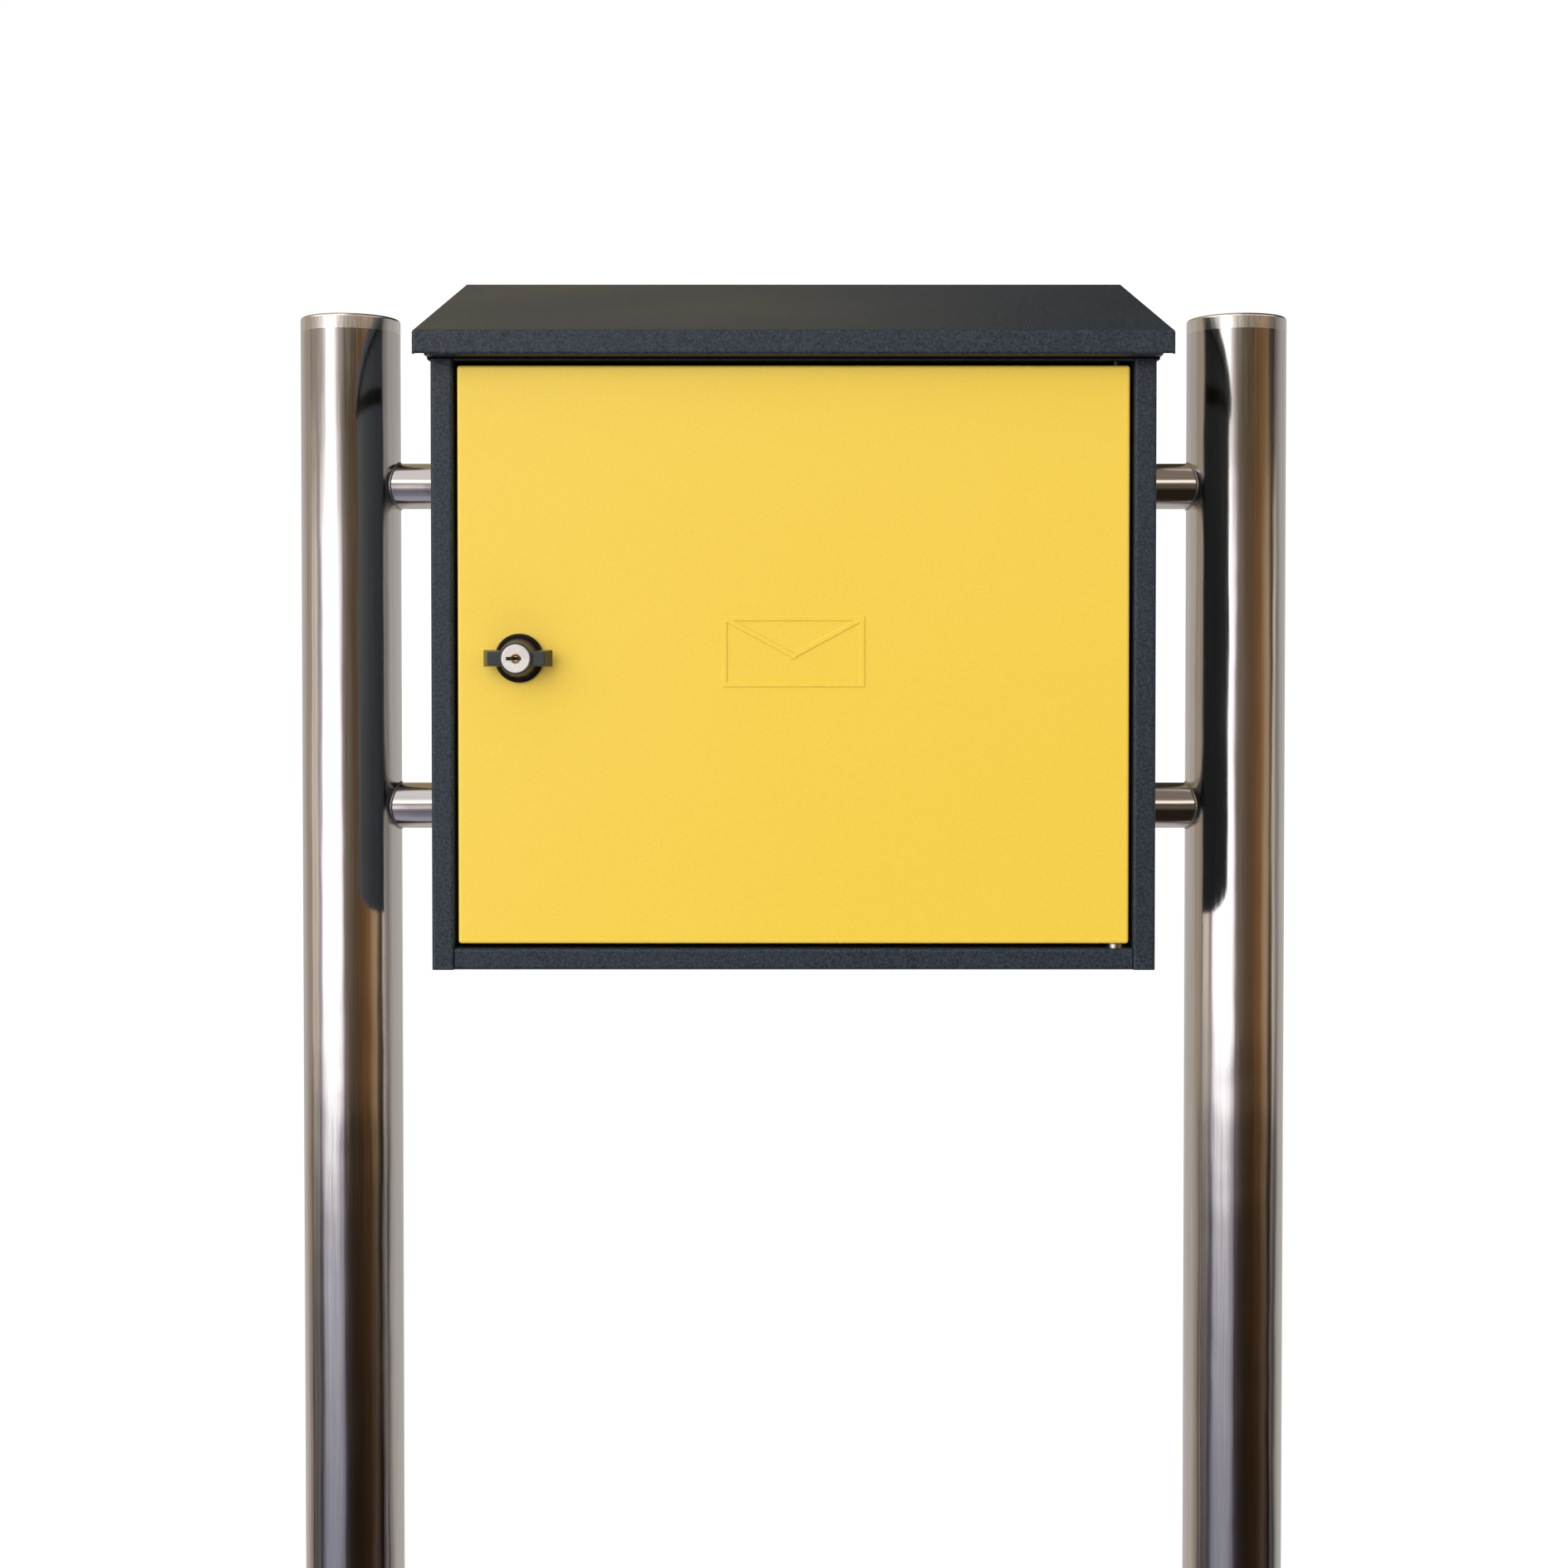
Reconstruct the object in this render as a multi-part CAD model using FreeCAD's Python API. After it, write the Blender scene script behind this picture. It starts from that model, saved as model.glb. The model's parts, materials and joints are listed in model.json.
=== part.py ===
import FreeCAD, Part
import math
import os

# Post-mounted mailbox: a sheet-steel box with a yellow front door and a sloping lid, bolted to
# two crossbars that are welded between two round stainless posts on floor flanges.
#
# Millimetres, +Z up. The origin is on the floor, midway between the two posts. The front faces -Y.
# The lid lifts on a continuous hinge along its rear edge, and mail drops through a slot under it.
# The door turns on two pivot pins at its right edge. A wing knob turns the cam that holds the door,
# and a key plug turns inside the knob.

V = FreeCAD.Vector
X, Y, Z = V(1, 0, 0), V(0, 1, 0), V(0, 0, 1)

# ---------------------------------------------------------------- driving dimensions: stand
POST_DIAMETER = 60.0
POST_WALL = 1.5
POST_ABOVE_LID = 33.0        # from the lid's front edge up to the caps' top faces
POST_GAP = 50.0              # between the box's side and a post
CAP_RIM = 9.0                # visible height of the end cap
CAP_SPIGOT = 22.0
CAP_WALL = 3.0
CAP_EDGE_RADIUS = 1.6
SPIGOT_CLEARANCE = 0.15
FLANGE_DIAMETER = 160.0
FLANGE_THICKNESS = 8.0
FLANGE_CHAMFER = 1.5
ANCHOR_PCD = 124.0
ANCHOR_HOLE = 12.0
BAR_DIAMETER = 28.0
BAR_WALL = 1.2
BAR_ABOVE_BOTTOM = 72.0      # from the box's bottom to the lower crossbar
BAR_PITCH = 196.7            # vertical distance between the crossbars

# ---------------------------------------------------------------- driving dimensions: box
SHEET = 1.0                  # all folded sheet
BEND = 0.8                   # inside radius of a fold
BODY_WIDTH = 385.0
BODY_DEPTH = 150.0
BODY_BOTTOM = 829.0
STILE = 12.0                 # width of the front face of each side panel
STRIKE_LIP = 6.0             # inward lip that the cam grips
RAIL = 11.5                  # height of the bottom rail
SILL = 10.0                  # depth of the folds over and under the door
FLANGE_FOLD = 12.0           # joining flanges inside the box
SEAM = 0.3                   # open seam between folded pieces
DOOR_HEIGHT = 307.0
DOOR_GAP = 2.5               # above and below the door
SWING_CLEARANCE = 0.5        # between the turning door's corner and the jamb
TOP_RAIL = 13.5              # height of the rail over the door
SLOT_INSET = 27.5            # from the box's side to the slot's end
SLOT_WIDTH = 40.0
SLOT_SETBACK = 20.0          # from the front face to the slot
SLOT_CORNER = 5.0
STRIP = 1.8                  # thickness of the rubber strip under the lid
STRIP_HEIGHT = 10.0
STRIP_ABOVE_RAIL_EDGE = 0.9  # the rail's lower edge shows under the strip
STRIP_END = 4.0              # the strip stops this far before the box's back

# ---------------------------------------------------------------- driving dimensions: lid
LID_SIDE_OVERHANG = 7.5
LID_OVERHANG = 12.0          # in front of the door
LID_ANGLE = 17.45            # slope in degrees
LID_LIFT = 1.0               # the front edge's height over the slot deck
LID_FLANGE = 13.0
LID_HEM = 8.0
LID_HEM_SETBACK = 6.5        # the hem stops this far from the lid's ends
LID_EDGE_RADIUS = 1.8
LID_GAP = 2.5                # between the side panels' tops and the lid
REAR_LIP_DROP = 2.6          # how far the rear lip hangs below the hinge's axis
BUMPER_DIAMETER = 9.0
BUMPER_INSET = 20.5
BUMPER_SETBACK = 8.0
BUMPER_GAP = 0.35

# ---------------------------------------------------------------- driving dimensions: hinge
HINGE_INSET = 42.5           # from the box's side to the hinge's end
KNUCKLES = 11                # odd, so that the fixed leaf has both ends
KNUCKLE_DIAMETER = 5.6
HINGE_PIN = 3.0
HINGE_PLAY = 0.06
KNUCKLE_GAP = 0.4
LEAF = 1.0
LEAF_LENGTH = 15.0
HINGE_STANDOFF = 0.35        # running gap around the knuckles
RIVETS = 5
RIVET_DROP = 9.5             # from the hinge's axis down to the rivets
RIVET_DIAMETER = 3.2
RIVET_HEAD = 6.0
RIVET_HEAD_HEIGHT = 0.9
RIVET_TAIL = 4.8
RIVET_TAIL_HEIGHT = 1.3

# ---------------------------------------------------------------- driving dimensions: door
DOOR_DEPTH = 10.0
DOOR_EDGE_RADIUS = 1.6
DOOR_LIP = 8.0
PIVOT_INSET = 6.5            # from the door's right edge
PIVOT_PIN = 4.8
PIVOT_PLAY = 0.1
PIVOT_REACH = 6.0            # how far a pin passes its door flange
PIVOT_HEAD = 6.4
PIVOT_HEAD_HEIGHT = 1.5
WASHER_DIAMETER = 8.8
WASHER_PLAY = 0.3
BUFFER_DIAMETER = 4.6
BUFFER_HEIGHT = 2.65
BUFFER_PLAY = 0.35
BUFFER_PITCH = 170.0

# ---------------------------------------------------------------- driving dimensions: emblem
EMBLEM_WIDTH = 76.0
EMBLEM_HEIGHT = 38.0
EMBLEM_STROKE = 3.0
EMBLEM_RAISE = 0.6
EMBLEM_TAPER = 0.5           # each side of a stroke narrows by this
EMBLEM_FLAP = 0.56           # the flap's point, as a share of the height
EMBLEM_ABOVE_CENTRE = 2.0

# ---------------------------------------------------------------- driving dimensions: lock
LOCK_INSET = 33.0            # from the door's left edge
LOCK_ABOVE_CENTRE = -1.5
RING_DIAMETER = 26.0
RING_THICKNESS = 3.2
BARREL_DIAMETER = 18.0
BARREL_SETBACK = 2.1         # from the barrel's end to the cam
ROTOR_DIAMETER = 14.0
ROTOR_PLAY = 0.1
SQUARE_SETBACK = 1.3         # from the start of the rotor's square to the cam
PLUG_HEAD_DIAMETER = 15.0
PLUG_HEAD_THICKNESS = 3.0
PLUG_PROUD = 0.25
PLUG_DIAMETER = 10.0
PLUG_LENGTH = 20.0
PLUG_PLAY = 0.1
KEYWAY_LENGTH = 8.0
KEYWAY_LEFT = 5.0            # how much of the keyway's length lies left of the centre
KEYWAY_WIDTH = 1.9
KEYWAY_DEPTH = 17.0
KEY_RECESS = 5.4
KEY_RECESS_DEPTH = 1.2
WAFER_WIDTH = 7.8
WAFER_HEIGHT = 6.0
WAFER_THICKNESS = 1.0
WAFER_START = 3.5            # from the back of the plug's head
WAFER_PITCH = 2.6
WAFER_WINDOW = 5.8
WAFER_SHIFTS = (-0.6, 0.0, -0.45, -0.1)
WAFER_PLAY = 0.05
KNOB_LENGTH = 12.6
KNOB_BASE_DIAMETER = 21.0
KNOB_FACE_DIAMETER = 17.0
KNOB_GAP = 0.3               # between the knob and the ring
KNOB_EDGE_RADIUS = 0.5
KNOB_FIT = 0.02
WING_SPAN = 37.0
WING_FACE_SPAN = 30.0
WING_WIDTH = 9.0
WING_FACE_WIDTH = 7.4
WING_LIFT = 2.2              # from the knob's base to the wings
WING_SETBACK = 1.4           # the wings' face lies this far behind the knob's face
WING_EDGE_RADIUS = 0.7
CAM_THICKNESS = 2.0
CAM_WIDTH = 14.0
CAM_TIP_WIDTH = 8.0
CAM_TIP_LENGTH = 3.0
CAM_GRIP = 4.8               # how far the cam reaches over the strike lip
CAM_GAP = 0.6                # behind the strike lip
CAM_SQUARE = 8.0
CAM_SQUARE_SHORT = 0.1       # the square stops this far inside the cam
SQUARE_PLAY = 0.1
NUT_ACROSS_FLATS = 23.0
NUT_THICKNESS = 3.5
THREAD_PLAY = 0.08
CAM_SCREW = 4.0
CAM_SCREW_LENGTH = 7.0
CAM_SCREW_HEAD = 7.4
CAM_SCREW_HEAD_HEIGHT = 2.4
CAM_SCREW_EDGE = 1.0
CROSS_LENGTH = 3.8
CROSS_WIDTH = 0.8
CROSS_DEPTH = 1.6
CAM_WASHER_DIAMETER = 11.5
CAM_WASHER_THICKNESS = 0.8

# ---------------------------------------------------------------- driving dimensions: fixings
BOLT = 6.0
BOLT_PLAY = 0.3
BOLT_INSET = 42.5            # from the box's side to the bolts
BOLT_HEAD_FLATS = 10.0
BOLT_HEAD_HEIGHT = 4.0
BOLT_WASHER = 16.0
BOLT_WASHER_THICKNESS = 1.2
SADDLE_SIDE = 20.0
SADDLE_THICKNESS = 4.0       # between the box and the crossbar
REAR_SADDLE_THICKNESS = 3.0
SADDLE_WRAP = 0.3            # share of the bar's radius that a saddle reaches round it
SADDLE_PLAY = 0.05
CAP_NUT_FLATS = 10.0
CAP_NUT_HEX = 5.0
CAP_NUT_DOME = 4.5
CAP_NUT_SHOULDER = 0.4
BOLT_ENGAGEMENT = 7.0
NUT_HOLE_SPARE = 0.3

# ---------------------------------------------------------------- worked out: box
POST_R = POST_DIAMETER / 2
BAR_R = BAR_DIAMETER / 2
BACK = -(BAR_R + SADDLE_THICKNESS)               # outer face of the back panel
INNER_BACK = BACK - SHEET
FRONT = BACK - BODY_DEPTH                        # front face of the stiles, rails and door
HALF = BODY_WIDTH / 2
INNER_HALF = HALF - SHEET
OPENING_HALF = HALF - STILE
SILL_Z = BODY_BOTTOM + RAIL
DOOR_Z0 = SILL_Z + DOOR_GAP
DOOR_Z1 = DOOR_Z0 + DOOR_HEIGHT
LINTEL_Z = DOOR_Z1 + DOOR_GAP
DECK_Z = LINTEL_Z + TOP_RAIL                     # upper face of the slot deck
FLOOR_TOP = BODY_BOTTOM + SHEET
CENTRE_Z = (DOOR_Z0 + DOOR_Z1) / 2
JAMB = DOOR_DEPTH + BUFFER_PLAY + BUFFER_HEIGHT  # depth of the fold beside the door

# ---------------------------------------------------------------- worked out: door and lock
PIVOT_SETBACK = SHEET + BEND + PIVOT_HEAD / 2    # puts the pins' heads just behind the rails' folds
PIVOT_CORNER = max(PIVOT_SETBACK, DOOR_DEPTH - PIVOT_SETBACK)
DOOR_SIDE_GAP = math.hypot(PIVOT_INSET, PIVOT_CORNER) - PIVOT_INSET + SWING_CLEARANCE
DOOR_HALF = OPENING_HALF - DOOR_SIDE_GAP
PIVOT_X = DOOR_HALF - PIVOT_INSET
PIVOT_Y = FRONT + PIVOT_SETBACK
LOCK_X = -DOOR_HALF + LOCK_INSET
LOCK_Z = CENTRE_Z + LOCK_ABOVE_CENTRE
RING_FACE = FRONT - RING_THICKNESS
KNOB_BASE = RING_FACE - KNOB_GAP
KNOB_FACE = RING_FACE - KNOB_LENGTH
PLUG_SEAT = KNOB_FACE + PLUG_HEAD_THICKNESS      # the back of the key plug's head
ROTOR_FRONT = PLUG_SEAT + PLUG_PLAY
CAM_FRONT = FRONT + JAMB + SHEET + CAM_GAP
CAM_REACH = LOCK_INSET + DOOR_SIDE_GAP - STRIKE_LIP + CAM_GRIP
BARREL_END = CAM_FRONT - BARREL_SETBACK
SQUARE_START = CAM_FRONT - SQUARE_SETBACK

# ---------------------------------------------------------------- worked out: lid and hinge
SLOPE = math.radians(LID_ANGLE)
SHEET_RISE = SHEET / math.cos(SLOPE)             # the lid sheet's thickness measured along Z
KNUCKLE_R = KNUCKLE_DIAMETER / 2
HINGE_Y = BACK + KNUCKLE_R + HINGE_STANDOFF
HINGE_HALF = HALF - HINGE_INSET
LID_HALF = HALF + LID_SIDE_OVERHANG
LID_FRONT = FRONT - LID_OVERHANG
LID_REAR = HINGE_Y + KNUCKLE_R + 1.2 * HINGE_STANDOFF + SHEET
LID_Z0 = DECK_Z + LID_LIFT

# ---------------------------------------------------------------- worked out: stand and fixings
POST_TOP = LID_Z0 + POST_ABOVE_LID
POST_X = HALF + POST_GAP + POST_R
BAR_ZS = (BODY_BOTTOM + BAR_ABOVE_BOTTOM + BAR_PITCH, BODY_BOTTOM + BAR_ABOVE_BOTTOM)
BOLT_XS = (-HALF + BOLT_INSET, HALF - BOLT_INSET)
REAR_FACE = BAR_R + REAR_SADDLE_THICKNESS
NUT_FACE = REAR_FACE + BOLT_WASHER_THICKNESS


def lid_top(y):
    """Height of the lid's upper surface at a depth y."""
    return LID_Z0 + (y - LID_FRONT) * math.tan(SLOPE)


HINGE_Z = lid_top(HINGE_Y) - (SHEET + HINGE_STANDOFF + KNUCKLE_R) / math.cos(SLOPE)


# ---------------------------------------------------------------- helpers
def box(x0, x1, y0, y1, z0, z1):
    return Part.makeBox(x1 - x0, y1 - y0, z1 - z0, V(x0, y0, z0))


def rod(radius, start, axis, length):
    return Part.makeCylinder(radius, length, start, axis)


def ring(outer, inner, start, axis, length):
    return rod(outer, start, axis, length).cut(rod(inner, start, axis, length))


def prism(points, along):
    """The solid that a closed outline of 3-D points sweeps out."""
    wire = Part.makePolygon(points + [points[0]])
    return Part.Face(wire).extrude(along)


def hexagon(across_flats, start, axis_y, turn=0.0):
    """A six-sided prism along Y from start, axis_y long."""
    radius = across_flats / math.sqrt(3)
    corners = []
    for k in range(6):
        a = math.radians(60 * k + turn)
        corners.append(start + V(radius * math.cos(a), 0, radius * math.sin(a)))
    return prism(corners, V(0, axis_y, 0))


def rounded_corner(before, corner, after, radius):
    """Start, middle and end of the arc that rounds a corner of a 2-D path."""
    u = (before - corner).normalize()
    w = (after - corner).normalize()
    half = u.getAngle(w) / 2
    start = corner + u * (radius / math.tan(half))
    end = corner + w * (radius / math.tan(half))
    bisector = (u + w).normalize()
    middle = corner + bisector * (radius / math.sin(half) - radius)
    return start, middle, end


def offset_left(points, distance):
    """The same 2-D path moved to the left of its direction of travel."""
    directions = [(b - a).normalize() for a, b in zip(points, points[1:])]
    normals = [V(-d.y, d.x, 0) for d in directions]
    moved = [points[0] + normals[0] * distance]
    for k in range(1, len(points) - 1):
        n = normals[k - 1] + normals[k]
        moved.append(points[k] + n * (2 * distance / n.dot(n)))
    moved.append(points[-1] + normals[-1] * distance)
    return moved


def path_edges(points, radii):
    """Straight runs joined by tangent arcs."""
    edges = []
    at = points[0]
    for k in range(1, len(points) - 1):
        start, middle, end = rounded_corner(points[k - 1], points[k], points[k + 1], radii[k - 1])
        edges.append(Part.LineSegment(at, start).toShape())
        edges.append(Part.Arc(start, middle, end).toShape())
        at = end
    edges.append(Part.LineSegment(at, points[-1]).toShape())
    return edges


def folded(outline, placement, length, sheet=SHEET, bend=BEND):
    """A folded strip. The 2-D outline is its outer face, with the sheet on the left of travel."""
    points = [V(a, b, 0) for a, b in outline]
    inner = offset_left(points, sheet)
    turns = []
    for a, b, c in zip(points, points[1:], points[2:]):
        turns.append((b - a).cross(c - b).z > 0)
    outer_radii = [bend + sheet if left else bend for left in turns]
    inner_radii = [bend if left else bend + sheet for left in turns]
    edges = path_edges(points, outer_radii)
    edges.append(Part.LineSegment(points[-1], inner[-1]).toShape())
    edges += path_edges(inner[::-1], inner_radii[::-1])
    edges.append(Part.LineSegment(inner[0], points[0]).toShape())
    solid = Part.Face(Part.Wire(Part.__sortEdges__(edges))).extrude(V(0, 0, length))
    solid.Placement = placement
    return solid


def flat_profile(z0):
    """Places a 2-D outline drawn in X and Y at a height, so that it sweeps upwards."""
    return FreeCAD.Placement(V(0, 0, z0), FreeCAD.Rotation())


def side_profile(x0):
    """Places a 2-D outline drawn in Y and Z at a given X, so that it sweeps towards +X."""
    turn = FreeCAD.Rotation(FreeCAD.Matrix(0, 0, 1, 0, 1, 0, 0, 0, 0, 1, 0, 0, 0, 0, 0, 1))
    return FreeCAD.Placement(V(x0, 0, 0), turn)


def join(*shapes):
    """One solid from touching or crossing shapes."""
    whole = shapes[0].multiFuse(list(shapes[1:])) if len(shapes) > 1 else shapes[0]
    return whole.removeSplitter()


def mirrored(shape):
    """The same piece on the other side of the middle plane."""
    return shape.mirror(V(0, 0, 0), X)


def edges_where(shape, test):
    return [e for e in shape.Edges if test(e)]


def both_ends(edge, test):
    return all(test(v.Point) for v in edge.Vertexes)


def near(a, b):
    return abs(a - b) < 1e-4


def above_lid_line(drop):
    """Everything above the lid's surface moved down by drop along Z, for trimming."""
    far = 300.0
    y0, y1 = LID_FRONT - far, LID_REAR + far
    points = [
        V(-far, y0, lid_top(y0) - drop),
        V(-far, y1, lid_top(y1) - drop),
        V(-far, y1, lid_top(y1) + far),
        V(-far, y0, lid_top(y0) + far),
    ]
    return prism(points, V(2 * far, 0, 0))


# ---------------------------------------------------------------- stand
def post(x):
    length = POST_TOP - CAP_RIM - FLANGE_THICKNESS
    return ring(POST_R, POST_R - POST_WALL, V(x, 0, FLANGE_THICKNESS), Z, length)


def post_cap(x):
    rim_z = POST_TOP - CAP_RIM
    rim = rod(POST_R, V(x, 0, rim_z), Z, CAP_RIM)
    top = edges_where(rim, lambda e: e.Closed and near(e.CenterOfMass.z, POST_TOP))
    rim = rim.makeFillet(CAP_EDGE_RADIUS, top)
    spigot_r = POST_R - POST_WALL - SPIGOT_CLEARANCE
    spigot = ring(spigot_r, spigot_r - CAP_WALL, V(x, 0, rim_z - CAP_SPIGOT), Z, CAP_SPIGOT)
    return join(rim, spigot)


def base_flange(x):
    disc = rod(FLANGE_DIAMETER / 2, V(x, 0, 0), Z, FLANGE_THICKNESS)
    rim = edges_where(disc, lambda e: e.Closed and near(e.CenterOfMass.z, FLANGE_THICKNESS))
    disc = disc.makeChamfer(FLANGE_CHAMFER, rim)
    for k in range(4):
        a = math.radians(45 + 90 * k)
        centre = V(x + ANCHOR_PCD / 2 * math.cos(a), ANCHOR_PCD / 2 * math.sin(a), 0)
        disc = disc.cut(rod(ANCHOR_HOLE / 2, centre, Z, FLANGE_THICKNESS))
    return disc


def crossbar(z):
    bar = ring(BAR_R, BAR_R - BAR_WALL, V(-POST_X, 0, z), X, 2 * POST_X)
    for x in (-POST_X, POST_X):
        bar = bar.cut(rod(POST_R, V(x, 0, z - 2 * BAR_R), Z, 4 * BAR_R))
    for x in BOLT_XS:
        bar = bar.cut(rod(BOLT / 2 + BOLT_PLAY, V(x, -2 * BAR_R, z), Y, 4 * BAR_R))
    return bar


# ---------------------------------------------------------------- fixings of the box to the bars
def at_each_bolt(make):
    return Part.makeCompound([make(x, z) for z in BAR_ZS for x in BOLT_XS])


def saddle(x, z, flat_y, towards):
    """A pad that is flat at flat_y and hollowed to fit the crossbar; towards is +1 or -1 in Y."""
    depth = abs(flat_y) - (1 - SADDLE_WRAP) * BAR_R
    side = SADDLE_SIDE / 2
    y0, y1 = sorted((flat_y, flat_y + towards * depth))
    pad = box(x - side, x + side, y0, y1, z - side, z + side)
    pad = pad.cut(rod(BAR_R + SADDLE_PLAY, V(x - side, 0, z), X, 2 * side))
    return pad.cut(rod(BOLT / 2 + BOLT_PLAY, V(x, -3 * BAR_R, z), Y, 6 * BAR_R))


def front_saddle(x, z):
    return saddle(x, z, BACK, 1)


def rear_saddle(x, z):
    return saddle(x, z, REAR_FACE, -1)


def bolt_washer_pair(x, z):
    """One washer inside the box and one behind the crossbar."""
    pair = []
    for y in (INNER_BACK - BOLT_WASHER_THICKNESS, REAR_FACE):
        pair.append(ring(BOLT_WASHER / 2, BOLT / 2 + BOLT_PLAY, V(x, y, z), Y, BOLT_WASHER_THICKNESS))
    return pair


def bolt(x, z):
    head_face = INNER_BACK - BOLT_WASHER_THICKNESS
    head = hexagon(BOLT_HEAD_FLATS, V(x, head_face - BOLT_HEAD_HEIGHT, z), BOLT_HEAD_HEIGHT, 30)
    shank = rod(BOLT / 2, V(x, head_face, z), Y, NUT_FACE + BOLT_ENGAGEMENT - head_face)
    return join(head, shank)


def cap_nut(x, z):
    nut = hexagon(CAP_NUT_FLATS, V(x, NUT_FACE, z), CAP_NUT_HEX, 30)
    shoulder = V(x, NUT_FACE + CAP_NUT_HEX, z)
    radius = CAP_NUT_FLATS / 2 - CAP_NUT_SHOULDER
    dome = Part.makeSphere(radius, shoulder).common(rod(radius, shoulder, Y, CAP_NUT_DOME))
    hole = rod(BOLT / 2 + THREAD_PLAY, V(x, NUT_FACE, z), Y, BOLT_ENGAGEMENT + NUT_HOLE_SPARE)
    return join(nut, dome).cut(hole)


# ---------------------------------------------------------------- box
def side_panel(with_lip):
    """The left side: side wall, front stile and jamb folded from one sheet, trimmed under the lid."""
    outline = [
        (-HALF, BACK),
        (-HALF, FRONT),
        (-OPENING_HALF, FRONT),
        (-OPENING_HALF, FRONT + JAMB),
    ]
    if with_lip:
        outline.append((-OPENING_HALF + STRIKE_LIP, FRONT + JAMB))
    top = lid_top(BACK)
    panel = folded(outline, flat_profile(BODY_BOTTOM), top - BODY_BOTTOM)
    panel = panel.cut(above_lid_line(SHEET_RISE + LID_GAP))
    if with_lip:
        reach = STRIKE_LIP + BEND
        y0, y1 = FRONT + JAMB - SHEET, FRONT + JAMB + 2 * SHEET
        for z0, z1 in ((BODY_BOTTOM, DOOR_Z0), (DOOR_Z1, top)):
            edge = -OPENING_HALF
            panel = panel.cut(box(edge, edge + reach, y0, y1, z0, z1))
            trimmed = box(edge - SHEET, edge, FRONT + JAMB - BEND, y1, z0, z1)
            panel = panel.cut(trimmed)
    return panel


def back_panel():
    """A flat back with flanges folded forwards inside the side panels."""
    outline = [
        (-INNER_HALF, BACK - FLANGE_FOLD),
        (-INNER_HALF, BACK),
        (INNER_HALF, BACK),
        (INNER_HALF, BACK - FLANGE_FOLD),
    ]
    # walked from right to left, which keeps the sheet inside the outline
    panel = folded(outline[::-1], flat_profile(FLOOR_TOP), lid_top(BACK) - FLOOR_TOP)
    panel = panel.cut(above_lid_line(SHEET_RISE + LID_GAP))
    for z in BAR_ZS:
        for x in BOLT_XS:
            panel = panel.cut(rod(BOLT / 2 + BOLT_PLAY, V(x, BACK - 2 * SHEET, z), Y, 4 * SHEET))
    # the joining flanges of the floor and the deck pass inside the side flanges
    corner = FLANGE_FOLD + BEND
    for z0, z1 in ((FLOOR_TOP, FLOOR_TOP + corner), (DECK_Z - corner, DECK_Z)):
        for x0, x1 in ((-INNER_HALF, -INNER_HALF + 2 * SHEET), (INNER_HALF - 2 * SHEET, INNER_HALF)):
            panel = panel.cut(box(x0, x1, BACK - FLANGE_FOLD, BACK - SHEET - BEND, z0, z1))
    for x in rivet_xs():
        start = V(x, BACK - 2 * SHEET, HINGE_Z - RIVET_DROP)
        panel = panel.cut(rod(RIVET_DIAMETER / 2, start, Y, 3 * SHEET))
    return panel


def bottom_panel():
    """The floor with the bottom rail and sill folded up in front, and flanges at the back and sides."""
    outline = [
        (FRONT + SILL, SILL_Z),
        (FRONT, SILL_Z),
        (FRONT, BODY_BOTTOM),
        (INNER_BACK, BODY_BOTTOM),
        (INNER_BACK, BODY_BOTTOM + FLANGE_FOLD),
    ]
    half = OPENING_HALF - SEAM
    tray = folded(outline, side_profile(-half), 2 * half)
    y0 = FRONT + JAMB + SHEET + SEAM
    y1 = INNER_BACK - FLANGE_FOLD
    # beside the tray the floor runs on under the back panel's side flanges
    wings = box(-INNER_HALF, INNER_HALF, y0, INNER_BACK - SHEET - BEND, BODY_BOTTOM, BODY_BOTTOM + SHEET)
    flanges = []
    for x0, x1 in ((-INNER_HALF, -INNER_HALF + SHEET), (INNER_HALF - SHEET, INNER_HALF)):
        flanges.append(box(x0, x1, y0, y1, BODY_BOTTOM, BODY_BOTTOM + FLANGE_FOLD))
    panel = join(tray, wings, *flanges)
    hole = rod(PIVOT_PIN / 2, V(PIVOT_X, PIVOT_Y, SILL_Z - 2 * SHEET), Z, 4 * SHEET)
    return panel.cut(hole)


def slot_deck():
    """The fixed plate under the lid: mail slot, top rail over the door, and joining flanges."""
    outline = [
        (INNER_BACK, DECK_Z - FLANGE_FOLD),
        (INNER_BACK, DECK_Z),
        (FRONT, DECK_Z),
        (FRONT, LINTEL_Z),
        (FRONT + SILL, LINTEL_Z),
    ]
    half = OPENING_HALF - SEAM
    tray = folded(outline, side_profile(-half), 2 * half)
    y0 = FRONT + JAMB + SHEET + SEAM
    y1 = INNER_BACK - FLANGE_FOLD
    wings = box(-INNER_HALF, INNER_HALF, y0, y1, DECK_Z - SHEET, DECK_Z)
    flanges = []
    for x0, x1 in ((-INNER_HALF, -INNER_HALF + SHEET), (INNER_HALF - SHEET, INNER_HALF)):
        flanges.append(box(x0, x1, y0, y1, DECK_Z - FLANGE_FOLD, DECK_Z))
    deck = join(tray, wings, *flanges)
    slot_half = HALF - SLOT_INSET
    slot = box(-slot_half, slot_half, FRONT + SLOT_SETBACK, FRONT + SLOT_SETBACK + SLOT_WIDTH,
               DECK_Z - 2 * SHEET, DECK_Z + SHEET)
    upright = edges_where(slot, lambda e: near(e.Vertexes[0].X, e.Vertexes[1].X)
                          and near(e.Vertexes[0].Y, e.Vertexes[1].Y))
    deck = deck.cut(slot.makeFillet(SLOT_CORNER, upright))
    return deck.cut(rod(PIVOT_PIN / 2, V(PIVOT_X, PIVOT_Y, LINTEL_Z - SHEET), Z, 3 * SHEET))


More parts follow.
